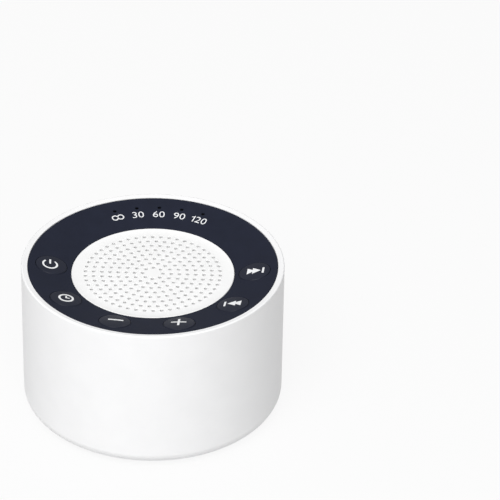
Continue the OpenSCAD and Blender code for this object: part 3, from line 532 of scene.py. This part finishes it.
def outerShell(v):
    centre, start = lowerEdge(innerRadius)
    deckLow = deckTop - v["deckThickness"]
    rimRound, seatRound = v["rimRound"], v["seatRound"]
    rimCentre, seatCentre = bodyRadius - rimRound, seatRadius + seatRound
    rimHeight = rimZ(rimCentre) - rimRound / cos(radians(topTilt))
    profile = arcPoints(*centre, baseRound, start, 0, 12)
    profile += arcPoints(rimCentre, rimHeight, rimRound, 0, 90 + topTilt, 6)
    profile += arcPoints(seatCentre, rimZ(seatCentre) - seatRound, seatRound, 90 + topTilt, 180, 3)
    profile += [(seatRadius, deckTop), (v["throat"], deckTop), (v["throat"], deckLow), (innerRadius, deckLow)]
    bm = lathe(profile, v["turns"])
    ribLow = v["wellTop"] + v["ribThickness"]
    ribSize = (innerRadius - postCircle + overlap, v["ribThickness"], deckLow + v["ribSink"] - ribLow)
    ribCentre = (ribSize[0] / 2, 0, ribLow + ribSize[2] / 2)
    top = deckLow + overlap
    posts = []
    for angle in postAngles:
        posts += rods(postCircle, [angle], v["postRadius"], v["wellTop"], top)
        posts.append(moved(block(ribSize, ribCentre), around(postCircle, angle)))
    posts += rods(v["bossCircle"], v["bossAngles"], v["bossRadius"], v["bossLow"], top)
    posts += rods(v["clampCircle"], v["clampAngles"], v["clampRadius"], v["clampLow"], top)
    bm = combined(bm, posts, "UNION")
    holes = [plugMouth(v)]
    for circle, angles, radius, low, depth in (
        (postCircle, postAngles, v["screwHole"], v["wellTop"], v["postHole"]),
        (v["bossCircle"], v["bossAngles"], v["smallHole"], v["bossLow"], v["bossHole"]),
        (v["clampCircle"], v["clampAngles"], v["smallHole"], v["clampLow"], v["clampHole"]),
    ):
        holes += rods(circle, angles, radius, low - spare, low + depth, 32)
    holes += rods(buttonCircle, buttonAngles, v["stemHole"], deckLow - spare, deckTop + spare)
    holes += rods(lightCircle, lightAngles, v["rodHole"], deckLow - spare, deckTop + spare, 32)
    bm = combined(bm, holes, "DIFFERENCE")
    finished("outerShell", bm, "white_housing", "housing", ["outer_shell"])


def plugMouth(v):
    # Pocket in the wall for the plug, and the slot behind it for the socket
    height = (socketLow.z + socketHigh.z) / 2
    slotWidth = socketHigh.x - socketLow.x + 2 * v["inletPlay"]
    slotHeight = socketHigh.z - socketLow.z + 2 * v["inletPlay"]
    slot = raised(roundedRect(slotWidth, slotHeight, slotHeight / 2 - v["inletFlat"], 8), v["inletDepth"])
    pocket = raised(roundedRect(v["plugWidth"], v["plugHeight"], v["plugRound"]), v["plugDepth"])
    moved(slot, Matrix.Translation((0, innerRadius - spare, height)) @ toRear)
    moved(pocket, Matrix.Translation((0, innerRadius + v["web"], height)) @ toRear)
    return joined([slot, pocket])


outerShell(shellValues)


coverValues = {
    "thickness": 2.2, "locatorHeight": 3, "locatorThickness": 1.1, "locatorPlay": 0.2, "wellRadius": 4.4,
    "wellTop": 8.0, "wellFloor": 5.5, "wellBore": 2.7, "screwPass": 1.45, "standoff": 2.6, "standoffTop": 7.5,
    "footRecess": 5.1, "recessTop": 1.6, "edge": 0.25, "footCircle": 30.0, "smallHole": 1.05, "holeTop": 9,
    "standoffs": ((20.53, 7.37), (22.82, 27.19)), "penHeight": 5.0, "penThickness": 1.4, "penGap": 0.3,
    "penSink": 0.4,
}


def baseCover(v):
    centre, start = lowerEdge(coverRadius)
    top, bottom = baseHeight + v["thickness"], baseHeight + overlap
    outer = innerRadius - v["locatorPlay"]
    inner, ribTop = outer - v["locatorThickness"], top + v["locatorHeight"]
    profile = [(0, baseHeight)] + arcPoints(*centre, baseRound, -90, start, 6)
    profile += [(coverRadius, top), (outer, top), (outer, ribTop), (inner, ribTop), (inner, top), (0, top)]
    bm = lathe(profile, closed=False)
    risers = rods(postCircle, postAngles, v["wellRadius"], bottom, v["wellTop"])
    standoffs = [Matrix.Translation((side * x, y, 0)) for x, y in v["standoffs"] for side in (-1, 1)]
    risers += [moved(rod(v["standoff"], bottom, v["standoffTop"], 32), place) for place in standoffs]
    # Low pens that keep the cell in its place, at its sides and in front of it
    cellLow, cellHigh = boxOf("battery")
    pen, height = v["penThickness"], v["penHeight"] + v["penSink"]
    reach, penZ = v["penGap"] + pen / 2, top + (v["penHeight"] - v["penSink"]) / 2
    size = (pen, (cellHigh.y - cellLow.y) / 2, height)
    for side in (-1, 1):
        risers.append(block(size, (side * (cellHigh.x + reach), (cellLow.y + cellHigh.y) / 2, penZ)))
    risers.append(block((cellHigh.x, pen, height), (0, cellLow.y - reach, penZ)))
    bm = combined(bm, risers, "UNION")
    holes = [moved(rod(v["smallHole"], top, v["holeTop"], 24), place) for place in standoffs]
    for angle in postAngles:
        holes.append(moved(flaredHole(v["wellBore"], v["wellFloor"], v["edge"]), around(postCircle, angle)))
        holes += rods(postCircle, [angle], v["screwPass"], baseHeight, v["holeTop"], 32)
    for k in range(4):
        recess = flaredHole(v["footRecess"], v["recessTop"], v["edge"])
        holes.append(moved(recess, around(v["footCircle"], 90 * k)))
    bm = combined(bm, holes, "DIFFERENCE")
    finished("baseCover", bm, "white_housing", "housing", ["base_cover"])


def flaredHole(radius, top, edge):
    # Cutter for a hole in the underside, with a rounded mouth
    mouth = [(0, baseHeight - spare), (radius + edge, baseHeight - spare)]
    mouth += arcPoints(radius + edge, baseHeight + edge, edge, 270, 180, 3)
    return lathe(mouth + [(radius, top), (0, top)], 64, closed=False)


baseCover(coverValues)


# Each hole has a short straight mouth and opens out behind it
grilleValues = {
    "hole": 1.25, "holeBack": 1.9, "holeMouth": 0.35, "holeEdge": 0.06, "holeTurns": 18, "rings": 8,
    "firstCount": 8, "moreEachRing": 6, "firstRing": 3.5, "pitch": 2.8, "thickness": 1.6, "skirt": 1.7,
    "border": 1.8, "edge": 0.28, "outerTurns": 192, "fillTurn": 1.37,
}


def loopOf(bm, radius, turns, place=Matrix()):
    ring = bmesh.ops.create_circle(bm, segments=turns, radius=radius, matrix=place)
    return list({edge for vert in ring["verts"] for edge in vert.link_edges})


def stepped(bm, loop, steps, centre=Vector()):
    # Extrudes a loop through steps of scale factor and drop, and returns the last loop
    for factor, drop in steps:
        out = bmesh.ops.extrude_edge_only(bm, edges=loop)["geom"]
        verts = vertsOf(out)
        loop = [item for item in out if isinstance(item, bmesh.types.BMEdge)]
        bmesh.ops.scale(bm, vec=(factor, factor, 1), verts=verts, space=Matrix.Translation(-centre))
        bmesh.ops.translate(bm, vec=(0, 0, -drop), verts=verts)
    return loop


def roundOver(radius, edge, inwards, steps=3):
    # Steps of a quarter round from a radius that is edge away from the wall
    sign = -1 if inwards else 1
    radii = [radius - sign * edge + sign * edge * sin(pi / 2 * k / steps) for k in range(steps + 1)]
    drops = [edge - edge * cos(pi / 2 * k / steps) for k in range(steps + 1)]
    return [(radii[k] / radii[k - 1], drops[k] - drops[k - 1]) for k in range(1, steps + 1)]


def grille(v):
    bm = bmesh.new()
    outer = grilleHigh.x
    fall = topSlope * v["border"]
    top = Matrix.Translation((0, 0, grilleTop - fall))
    rim = loopOf(bm, outer - v["border"], v["outerTurns"], top)
    upper, lower = list(rim), []
    for k in range(v["rings"]):
        count = v["firstCount"] + v["moreEachRing"] * k
        for i in range(count):
            spot = around(v["firstRing"] + k * v["pitch"], i * 360 / count) @ top
            radius = v["hole"] / 2
            hole = loopOf(bm, radius + v["holeEdge"], v["holeTurns"], spot)
            upper += hole
            walls = roundOver(radius, v["holeEdge"], True, 2) + [(1, v["holeMouth"] - v["holeEdge"])]
            walls.append((v["holeBack"] / v["hole"], v["thickness"] - v["holeMouth"]))
            lower += stepped(bm, hole, walls, spot.translation)
    height = grilleTop - deckTop
    skirt = outer - v["skirt"]
    side = [((outer - v["edge"]) / (outer - v["border"]), -fall)] + roundOver(outer, v["edge"], False, 4)
    side += [(1, height - v["edge"]), (skirt / outer, 0), (1, v["thickness"] + fall - height)]
    lower += stepped(bm, rim, side)
    # No two holes lie level while the faces are filled
    moved(bm, Matrix.Rotation(radians(v["fillTurn"]), 4, "Z"))
    bmesh.ops.triangle_fill(bm, edges=upper, use_beauty=True)
    bmesh.ops.triangle_fill(bm, edges=lower, use_beauty=True)
    moved(bm, Matrix.Rotation(radians(-v["fillTurn"]), 4, "Z"))
    bmesh.ops.recalc_face_normals(bm, faces=bm.faces)
    finished("grille", bm, "white_grille", "housing", ["grille"])


grille(grilleValues)


ringValues = {
    "edge": 0.12, "innerSkirt": 0.6, "outerSkirt": 1.1, "thickness": 2.0, "well": 5.45, "wellEdge": 0.06,
    "lightHole": 0.65, "lightEdge": 0.05, "turns": 256, "cutterFlare": 1.3, "cutterAbove": 0.4,
    "cutterBelow": 0.5,
}


def surfaceHole(v, radius, edge, circle, angle, turns):
    # Cutter for a hole in the dished face, with a rounded mouth that follows the face
    bm = bmesh.new()
    place = around(circle, angle)
    loop = loopOf(bm, radius, turns, place)
    bmesh.ops.contextual_create(bm, geom=loop)
    mouth = [(0, -edge)] + [(edge * (1 - cos(t)), edge * (sin(t) - 1)) for t in (pi / 6, pi / 3, pi / 2)]
    mouth.append((edge * v["cutterFlare"], v["cutterAbove"]))
    grown = radius
    for spread, rise in mouth:
        loop = stepped(bm, loop, [((radius + spread) / grown, 0)], place.translation)
        grown = radius + spread
        for vert in {v for e in loop for v in e.verts}:
            vert.co.z = ringZ(hypot(vert.co.x, vert.co.y)) + rise
    bmesh.ops.contextual_create(bm, geom=loop)
    for vert in bm.verts:
        if vert.co.z == 0:
            vert.co.z = deckTop + v["cutterBelow"]
    bmesh.ops.recalc_face_normals(bm, faces=bm.faces)
    return bm


def controlRing(v):
    edge, inner, outer = v["edge"], grilleRadius, ringRadius
    foot, wall = inner + v["innerSkirt"], outer - v["outerSkirt"]
    profile = [(inner, deckTop)]
    profile += arcPoints(inner + edge, ringZ(inner + edge) - edge, edge, 180, 90 + topTilt, 4)
    profile += arcPoints(outer - edge, ringZ(outer - edge) - edge, edge, 90 + topTilt, 0, 4)
    profile += [(outer, deckTop), (wall, deckTop), (wall, ringZ(wall) - v["thickness"])]
    profile += [(foot, ringZ(foot) - v["thickness"]), (foot, deckTop)]
    bm = lathe(profile, v["turns"])
    holes = [surfaceHole(v, v["well"], v["wellEdge"], buttonCircle, angle, 96) for angle in buttonAngles]
    holes += [surfaceHole(v, v["lightHole"], v["lightEdge"], lightCircle, angle, 32) for angle in lightAngles]
    bm = combined(bm, holes, "DIFFERENCE")
    finished("controlRing", bm, "navy_panel", "housing", ["control_ring"])


controlRing(ringValues)


capValues = {
    "radius": 5.3, "rise": 0.4, "crown": 0.25, "edge": 0.26, "flange": 5.9, "flangeThickness": 0.9,
    "flangePlay": 0.1, "panelThickness": 2.0, "stem": 1.75, "stemBase": -9, "turns": 96, "rows": 8,
}


def capPlane(x, y, angle):
    # Height of the plane that touches the ring under a cap's centre
    reach = x * cos(radians(angle)) + y * sin(radians(angle))
    return ringZ(buttonCircle) + topSlope * (reach - buttonCircle)


def crown(v, radius):
    # Height of a cap's shallow crown over that plane
    return v["rise"] - v["crown"] * (radius / v["radius"]) ** 2


def crownZ(x, y, angle):
    centre = around(buttonCircle, angle).translation
    return capPlane(x, y, angle) + crown(capValues, hypot(x - centre.x, y - centre.y))


def buttonCap(v, name, angle):
    inner = v["radius"] - v["edge"]
    profile = [(inner * k / v["rows"], crown(v, inner * k / v["rows"])) for k in range(v["rows"])]
    profile += arcPoints(inner, crown(v, inner) - v["edge"], v["edge"], 90, 0, 5)
    flangeTop = -v["panelThickness"] - v["flangePlay"]
    flangeLow = flangeTop - v["flangeThickness"]
    profile += [(v["radius"], flangeTop), (v["flange"], flangeTop), (v["flange"], flangeLow)]
    profile += [(v["stem"], flangeLow), (v["stem"], v["stemBase"]), (0, v["stemBase"])]
    bm = moved(lathe(profile, v["turns"], closed=False), around(buttonCircle, angle))
    # The cap follows the dish, and its stem ends on the plunger
    stemLow = boxOf(name + "_plunger")[1].z
    for vert in bm.verts:
        inStem = vert.co.z < flangeLow - spare
        vert.co.z = stemLow if inStem else vert.co.z + capPlane(vert.co.x, vert.co.y, angle)
    finished(camel(name) + "Cap", bm, "navy_button", name + "_key", [name + "_button"])


def camel(name):
    first, *rest = name.split("_")
    return first + "".join(word.title() for word in rest)


for name, angle in zip(buttonNames, buttonAngles):
    buttonCap(capValues, name, angle)


def faceOf(points):
    bm = bmesh.new()
    bm.faces.new([bm.verts.new((x, y, 0)) for x, y in points])
    return bm


def bar(width, height, x=0, y=0):
    corners = ((-1, -1), (1, -1), (1, 1), (-1, 1))
    return faceOf([(x + sx * width / 2, y + sy * height / 2) for sx, sy in corners])


def hoop(radius, stroke, gap=0, turns=64):
    # Flat ring, with a gap of some degrees at the top
    bm = bmesh.new()
    start = radians(90 + gap / 2)
    verts = [bm.verts.new((r * cos(start), r * sin(start), 0)) for r in (radius - stroke, radius)]
    edge = bm.edges.new(verts)
    bmesh.ops.spin(
        bm, geom=verts + [edge], axis=(0, 0, 1), angle=radians(360 - gap), steps=turns, use_merge=gap == 0)
    return bm


def laid(shapes, place, height, proud=0.02, depth=0.06, cell=0.5, cells=12):
    # Lays flat shapes on a curved face: cut into small cells, dropped on it, and given a thickness
    bm = joined(shapes)
    for axis in (Vector((1, 0, 0)), Vector((0, 1, 0))):
        for k in range(-cells, cells + 1):
            everything = bm.verts[:] + bm.edges[:] + bm.faces[:]
            bmesh.ops.bisect_plane(bm, geom=everything, dist=1e-5, plane_co=axis * k * cell, plane_no=axis)
    bmesh.ops.recalc_face_normals(bm, faces=bm.faces)
    bmesh.ops.transform(bm, matrix=place, verts=bm.verts)
    for vert in bm.verts:
        vert.co.z = height(vert.co.x, vert.co.y) + proud
    return thickened(bm, -depth, keep=True)


def skipArrows(facing, v):
    # Two triangles that overlap, and a bar in front of their tip
    half, length, step = v["height"] / 2, v["length"], v["step"]
    dent = half * (1 - step / length)
    left = -v["width"] / 2
    upper = [(left, half), (left + step, dent), (left + step, half)]
    lower = [(x, -y) for x, y in reversed(upper)]
    outline = upper + [(left + step + length, 0)] + lower
    shapes = [faceOf([(facing * x, y) for x, y in outline])]
    shapes.append(bar(v["bar"], v["barHeight"], facing * (v["width"] / 2 - v["bar"] / 2)))
    return shapes


markValues = {
    "power": {"radius": 2.7, "stroke": 0.63, "gap": 80, "barHeight": 2.6, "barMiddle": 1.5},
    "timer": {"radius": 2.62, "stroke": 0.72, "hand": 0.52, "up": 1.45, "across": 1.2},
    "volume": {"width": 5.1, "minus": 0.92, "height": 5.3, "stroke": 0.76},
    "skip": {"height": 3.45, "length": 2.8, "step": 1.85, "width": 5.8, "bar": 0.68, "barHeight": 3.2},
    # How far out each mark lies from its cap's middle, and its turn in degrees
    "outwards": {
        "power": 0.42, "timer": -0.12, "volume_down": -0.85, "volume_up": -0.7, "previous": -0.2,
        "next": 0.32,
    },
    "turned": {"power": 4, "timer": 2, "volume_down": 0, "volume_up": -2, "previous": -6, "next": -5},
}


def marks():
    power, timer, volume, skip = (markValues[key] for key in ("power", "timer", "volume", "skip"))
    hand, up, across = timer["hand"] / 2, timer["up"], timer["across"]
    hands = [(-hand, -hand), (across, -hand), (across, hand), (hand, hand), (hand, up), (-hand, up)]
    arm, rise, half = volume["width"] / 2, volume["height"] / 2, volume["stroke"] / 2
    cross = []
    for sx, sy in ((1, 1), (-1, 1), (-1, -1), (1, -1)):
        quarter = [(arm, half), (half, half), (half, rise)]
        cross += [(sx * x, sy * y) for x, y in (quarter if sx * sy > 0 else quarter[::-1])]
    return {
        "power": [
            hoop(power["radius"], power["stroke"], power["gap"]),
            bar(power["stroke"], power["barHeight"], 0, power["barMiddle"]),
        ],
        "timer": [hoop(timer["radius"], timer["stroke"]), faceOf(hands)],
        "volume_down": [bar(volume["width"], volume["minus"])],
        "volume_up": [faceOf(cross)],
        "previous": skipArrows(-1, skip),
        "next": skipArrows(1, skip),
    }


for name, shapes in marks().items():
    angle = buttonAngles[buttonNames.index(name)]
    place = Matrix.Translation(around(buttonCircle + markValues["outwards"][name], angle).translation)
    place = place @ Matrix.Rotation(radians(markValues["turned"][name]), 4, "Z")
    printed = laid(shapes, place, lambda x, y: crownZ(x, y, angle))
    finished(camel(name) + "Mark", printed, "white_print", name + "_key", sharp=60)


labelValues = {
    "words": ("∞", "30", "60", "90", "120"), "circle": 34.8, "digitHeight": 2.85, "glyphHeight": 0.7,
    "bolder": -0.004, "wider": 1.1, "oneStroke": 0.38, "oneFlag": 0.78, "oneGap": 0.5,
    "flagSlope": 0.75, "flagTip": 0.25, "flagBend": 0.35,
    "loopRadius": 1.22, "loopStroke": 0.4, "loopWidth": 0.99,
}


def lettering(v, word):
    curve = bpy.data.curves.new("label", "FONT")
    curve.body = word
    curve.size = v["digitHeight"] / v["glyphHeight"]
    curve.offset = v["bolder"] * curve.size
    curve.resolution_u = 6
    helper = bpy.data.objects.new("label", curve)
    bpy.context.scene.collection.objects.link(helper)
    mesh = bpy.data.meshes.new_from_object(helper.evaluated_get(bpy.context.evaluated_depsgraph_get()))
    bm = bmesh.new()
    bm.from_mesh(mesh)
    bpy.data.objects.remove(helper)
    bpy.data.curves.remove(curve)
    bpy.data.meshes.remove(mesh)
    return bm


def extent(bm, axis):
    places = [vert.co[axis] for vert in bm.verts]
    return min(places), max(places)


def flaggedOne(v, low, high, right):
    # Figure one with a flag, its stem ending at right
    stem, flag = v["oneStroke"], v["oneFlag"]
    left, top = right - stem, high - flag * v["flagSlope"]
    tip, bend = stem * v["flagTip"], stem * v["flagBend"]
    return faceOf([
        (left, low), (right, low), (right, high), (left + tip, high), (left, top + bend),
        (left - flag, top), (left - flag, top - stem * v["flagSlope"]), (left, top - bend),
    ])


def lyingEight(v):
    # Sign for endless play: two loops that share a stroke
    loops = []
    for side in (-1, 1):
        loop = hoop(v["loopRadius"], v["loopStroke"])
        bmesh.ops.scale(loop, vec=(v["loopWidth"], 1, 1), verts=loop.verts)
        offset = v["loopRadius"] * v["loopWidth"] - v["loopStroke"] * v["loopWidth"] / 2
        loops.append(moved(loop, Matrix.Translation((side * offset, 0, 0))))
    return joined(loops)


def label(v, word, angle):
    bm = lyingEight(v) if word == "∞" else lettering(v, word.lstrip("1"))
    if word != "∞":
        bmesh.ops.scale(bm, vec=(v["wider"], 1, 1), verts=bm.verts)
    if word[0] == "1":
        bm = joined([bm, flaggedOne(v, *extent(bm, 1), extent(bm, 0)[0] - v["oneGap"])])
    middle = [-sum(extent(bm, axis)) / 2 for axis in (0, 1)]
    bmesh.ops.translate(bm, vec=(*middle, 0), verts=bm.verts)
    place = around(v["circle"], angle) @ Matrix.Rotation(radians(-90), 4, "Z")
    return laid([bm], place, lambda x, y: ringZ(hypot(x, y)))


for word, angle in zip(labelValues["words"], lightAngles):
    name = "label" + ("Endless" if word == "∞" else word)
    finished(name, label(labelValues, word, angle), "white_print", "housing", sharp=60)


footValues = {
    "edge": 0.4, "dish": 0.12, "dishRadius": 3.9, "dishRise": 0.15, "grooves": (3.2, 2.2, 1.2),
    "grooveMouth": 0.2, "grooveFloor": 0.12, "grooveDepth": 0.16,
}


def rubberFoot(v, node):
    low, high = boxOf(node)
    centre = (low + high) / 2
    radius = (high.x - low.x) / 2
    bottom = [(0, v["dish"]), (v["dishRadius"], v["dish"]), (v["dishRadius"] + v["dishRise"], 0)]
    rim = arcPoints(radius - v["edge"], v["edge"], v["edge"], 270, 360, 4)
    bm = lathe(bottom + rim + [(radius, high.z), (0, high.z)], 64, closed=False)
    mouth, narrow, top = v["grooveMouth"], v["grooveFloor"], v["dish"] + v["grooveDepth"]
    for middle in v["grooves"]:
        groove = [(middle - mouth, -mouth), (middle + mouth, -mouth)]
        groove += [(middle + narrow, top), (middle - narrow, top)]
        bm = combined(bm, [lathe(groove, 48)], "DIFFERENCE")
    moved(bm, Matrix.Translation((centre.x, centre.y, 0)))
    finished(camel(node), bm, "grey_rubber", "housing", [node])


for side in ("front", "right", "back", "left"):
    rubberFoot(footValues, "rubber_foot_" + side)


screwValues = {
    "head": 2.5, "headLow": 3.9, "headTop": 5.5, "edge": 0.35, "shank": 1.1, "thread": 1.25, "tip": 20.0,
    "pitch": 1.1, "crest": 0.4, "root": 0.8, "neck": 0.6, "runOut": 1.4, "point": 1.2, "recess": 1.5,
    "blade": 0.62, "depth": 1.0, "taper": (0.55, 0.75, 1),
}


def baseScrews(v):
    shapes = []
    rimCentre = v["head"] - v["edge"], v["headLow"] + v["edge"]
    for angle in postAngles:
        profile = [(0, v["headLow"])] + arcPoints(*rimCentre, v["edge"], 270, 360, 4)
        profile += [(v["head"], v["headTop"]), (v["shank"], v["headTop"])]
        z = v["headTop"] + v["neck"]
        while z < v["tip"] - v["runOut"]:
            profile += [(v["shank"], z), (v["thread"], z + v["pitch"] * v["crest"])]
            profile += [(v["shank"], z + v["pitch"] * v["root"])]
            z += v["pitch"]
        bm = lathe(profile + [(v["shank"], v["tip"] - v["point"]), (0, v["tip"])], 48, closed=False)
        blades = []
        height = v["depth"] + spare
        for turn in (0, 90):
            size = (2 * v["recess"], v["blade"], height)
            blade = block(size, (0, 0, v["headLow"] + v["depth"] - height / 2))
            top = [vert for vert in blade.verts if vert.co.z > v["headLow"]]
            bmesh.ops.scale(blade, vec=v["taper"], verts=top)
            blades.append(moved(blade, Matrix.Rotation(radians(turn), 4, "Z")))
        bm = combined(bm, blades, "DIFFERENCE")
        shapes.append(moved(bm, around(postCircle, angle)))
    finished("baseScrews", joined(shapes), "bright_steel", "housing", ["base_screws"])


baseScrews(screwValues)


powerValues = {
    "wall": 0.3, "lip": 0.1, "flat": 0.05, "plugGap": 0.05, "back": 1.6, "tongueWidth": 6.7,
    "tongueThickness": 0.7, "tongueDip": 0.6, "tongueEdge": 0.12, "contacts": 10, "contactWidth": 0.26,
    "contactPitch": 0.5, "contactThickness": 0.06, "contactStart": 0.1, "contactShort": 0.5,
}


def powerSocket(v):
    width, length, height = socketHigh - socketLow
    middle = (socketLow.z + socketHigh.z) / 2
    stand = Matrix.Translation((0, socketLow.y, middle)) @ toRear
    radius, wall, inset = height / 2 - v["flat"], v["wall"], v["wall"] + v["plugGap"]
    outer = raised(roundedRect(width, height, radius, 10), length)
    mouth = [e for e in outer.edges if all(abs(vert.co.z - length) < mergeDistance for vert in e.verts)]
    bevelled(outer, [e for e in mouth if e.calc_face_angle(0) > 1], v["lip"])
    bore = roundedRect(width - 2 * wall, height - 2 * wall, radius - wall, 10)
    moved(raised(bore, length + 2 * spare), Matrix.Translation((0, 0, -spare)))
    bm = combined(outer, [bore], "DIFFERENCE")
    finished("powerSocket", moved(bm, stand), "bright_steel", "housing", ["power_socket"])
    plug = raised(roundedRect(width - 2 * inset, height - 2 * inset, radius - inset, 8), v["back"])
    reach = length - v["tongueDip"]
    tongue = block((v["tongueWidth"], v["tongueThickness"], reach), (0, 0, reach / 2), v["tongueEdge"])
    bm = combined(plug, [tongue], "UNION")
    finished("powerSocketTongue", moved(bm, stand), "black_plastic", "housing", ["power_socket_tongue"])
    size = (v["contactWidth"], v["contactThickness"], reach - v["back"] - v["contactShort"])
    z = v["back"] + size[2] / 2 + v["contactStart"]
    pads = []
    for k in range(v["contacts"]):
        x = (k - (v["contacts"] - 1) / 2) * v["contactPitch"]
        pads += [block(size, (x, side * v["tongueThickness"] / 2, z)) for side in (-1, 1)]
    bm = moved(joined(pads), stand)
    finished("powerSocketContacts", bm, "contact_gold", "housing")


powerSocket(powerValues)


surroundValues = {"thick": 0.4, "lipWidth": 1.4, "coneGap": 0.2, "rollSteps": 16}


def surround(v):
    # Half roll of rubber from the cone's edge to the basket
    low, high = boxOf("surround")
    inner = boxOf("cone")[1].x + v["coneGap"]
    roll = high.z - low.z
    middle = inner + roll
    lipTop = low.z + v["thick"]
    lean = degrees(asin(v["thick"] / roll))
    lipInner = inner - v["lipWidth"]
    profile = [(lipInner, lipTop), (lipInner, low.z)]
    profile += arcPoints(middle, low.z, roll - v["thick"], 180, 0, v["rollSteps"])
    profile += [(high.x, low.z), (high.x, lipTop)]
    profile += arcPoints(middle, low.z, roll, lean, 180 - lean, v["rollSteps"])
    flex = (inner + v["thick"], middle + roll - v["thick"])
    finished("surroundRoll", lathe(profile), "surround_rubber", flex, ["surround"], sharp=50)


surround(surroundValues)


spiderValues = {"waves": 4, "stepsPerWave": 12, "rise": 0.5, "bond": 0.1, "innerFlat": 1, "outerFlat": 2.1}


def spider(v):
    # Corrugated disc that centres the coil
    low, high = boxOf("spider")
    inner = boxOf("coil_former")[1].x + v["bond"]
    seat = low.z + v["rise"]
    thick = high.z - low.z - 2 * v["rise"]
    waveIn, waveOut = inner + v["innerFlat"], high.x - v["outerFlat"]
    steps = v["waves"] * v["stepsPerWave"]
    lower = [(inner, seat)]
    for step in range(steps + 1):
        turn = 2 * pi * v["waves"] * step / steps
        lower.append((waveIn + (waveOut - waveIn) * step / steps, seat + v["rise"] * sin(turn)))
    lower.append((high.x, seat))
    upper = [(r, z + thick) for r, z in reversed(lower)]
    finished("spiderDisc", lathe(lower + upper), "spider_cloth", (waveIn, waveOut), ["spider"], sharp=60)


spider(spiderValues)
print("object built")


lightValues = {
    "world": 0.38, "floorSize": 3.0, "floorColour": (0.65, 0.65, 0.65, 1), "floorRough": 0.9,
    "floorGlow": 0.9, "keyPower": 23.2, "keySize": 1.2, "keyPlace": (-0.19, -0.87, 1.245), "aimHeight": 0.03,
}


def floorFinish(v):
    # Pale ground that keeps the shadow, and that the camera and reflections see as near white
    finish = Finish("pale_floor")
    finish.set(baseColor=v["floorColour"], roughness=v["floorRough"], specularIorLevel=0)
    seen = finish.node("ShaderNodeLightPath", out="Is Camera Ray")
    for ray in ("Is Glossy Ray", "Is Transmission Ray"):
        seen = seen + finish.node("ShaderNodeLightPath", out=ray)
    plain = Wire(finish, finish.shader.outputs[0])
    glow = finish.node("ShaderNodeEmission", None, {"Color": (1, 1, 1, 1), "Strength": 1})
    mixed = finish.node("ShaderNodeMixShader", None, {0: seen * v["floorGlow"], 1: plain, 2: glow})
    finish.feed(finish.tree.nodes["Material Output"].inputs["Surface"], mixed)
    return finish.material


def stage(v):
    bm = bmesh.new()
    bmesh.ops.create_grid(bm, x_segments=4, y_segments=4, size=v["floorSize"])
    mesh = bpy.data.meshes.new("floor")
    bm.to_mesh(mesh)
    bm.free()
    mesh.materials.append(floorFinish(v))
    ground = bpy.data.objects.new("floor", mesh)
    bpy.context.scene.collection.objects.link(ground)
    world = bpy.data.worlds.new("studio")
    bpy.context.scene.world = world
    world.use_nodes = True
    nodes, links = world.node_tree.nodes, world.node_tree.links
    sky = nodes["Background"]
    sky.inputs["Color"].default_value = (1, 1, 1, 1)
    path = nodes.new("ShaderNodeLightPath")
    strength = nodes.new("ShaderNodeMapRange")
    strength.inputs["To Min"].default_value = v["world"]
    strength.inputs["To Max"].default_value = 1
    links.new(path.outputs["Is Camera Ray"], strength.inputs["Value"])
    links.new(strength.outputs[0], sky.inputs["Strength"])
    lamp = bpy.data.lights.new("key", "AREA")
    lamp.shape = "DISK"
    lamp.size = v["keySize"]
    lamp.energy = v["keyPower"]
    lampObject = bpy.data.objects.new("key", lamp)
    bpy.context.scene.collection.objects.link(lampObject)
    lampObject.location = v["keyPlace"]
    aim = Vector((0, 0, v["aimHeight"])) - lampObject.location
    lampObject.rotation_euler = aim.to_track_quat("-Z", "Y").to_euler()


stage(lightValues)
bpy.context.scene.view_settings.view_transform = "Standard"

print("ready")
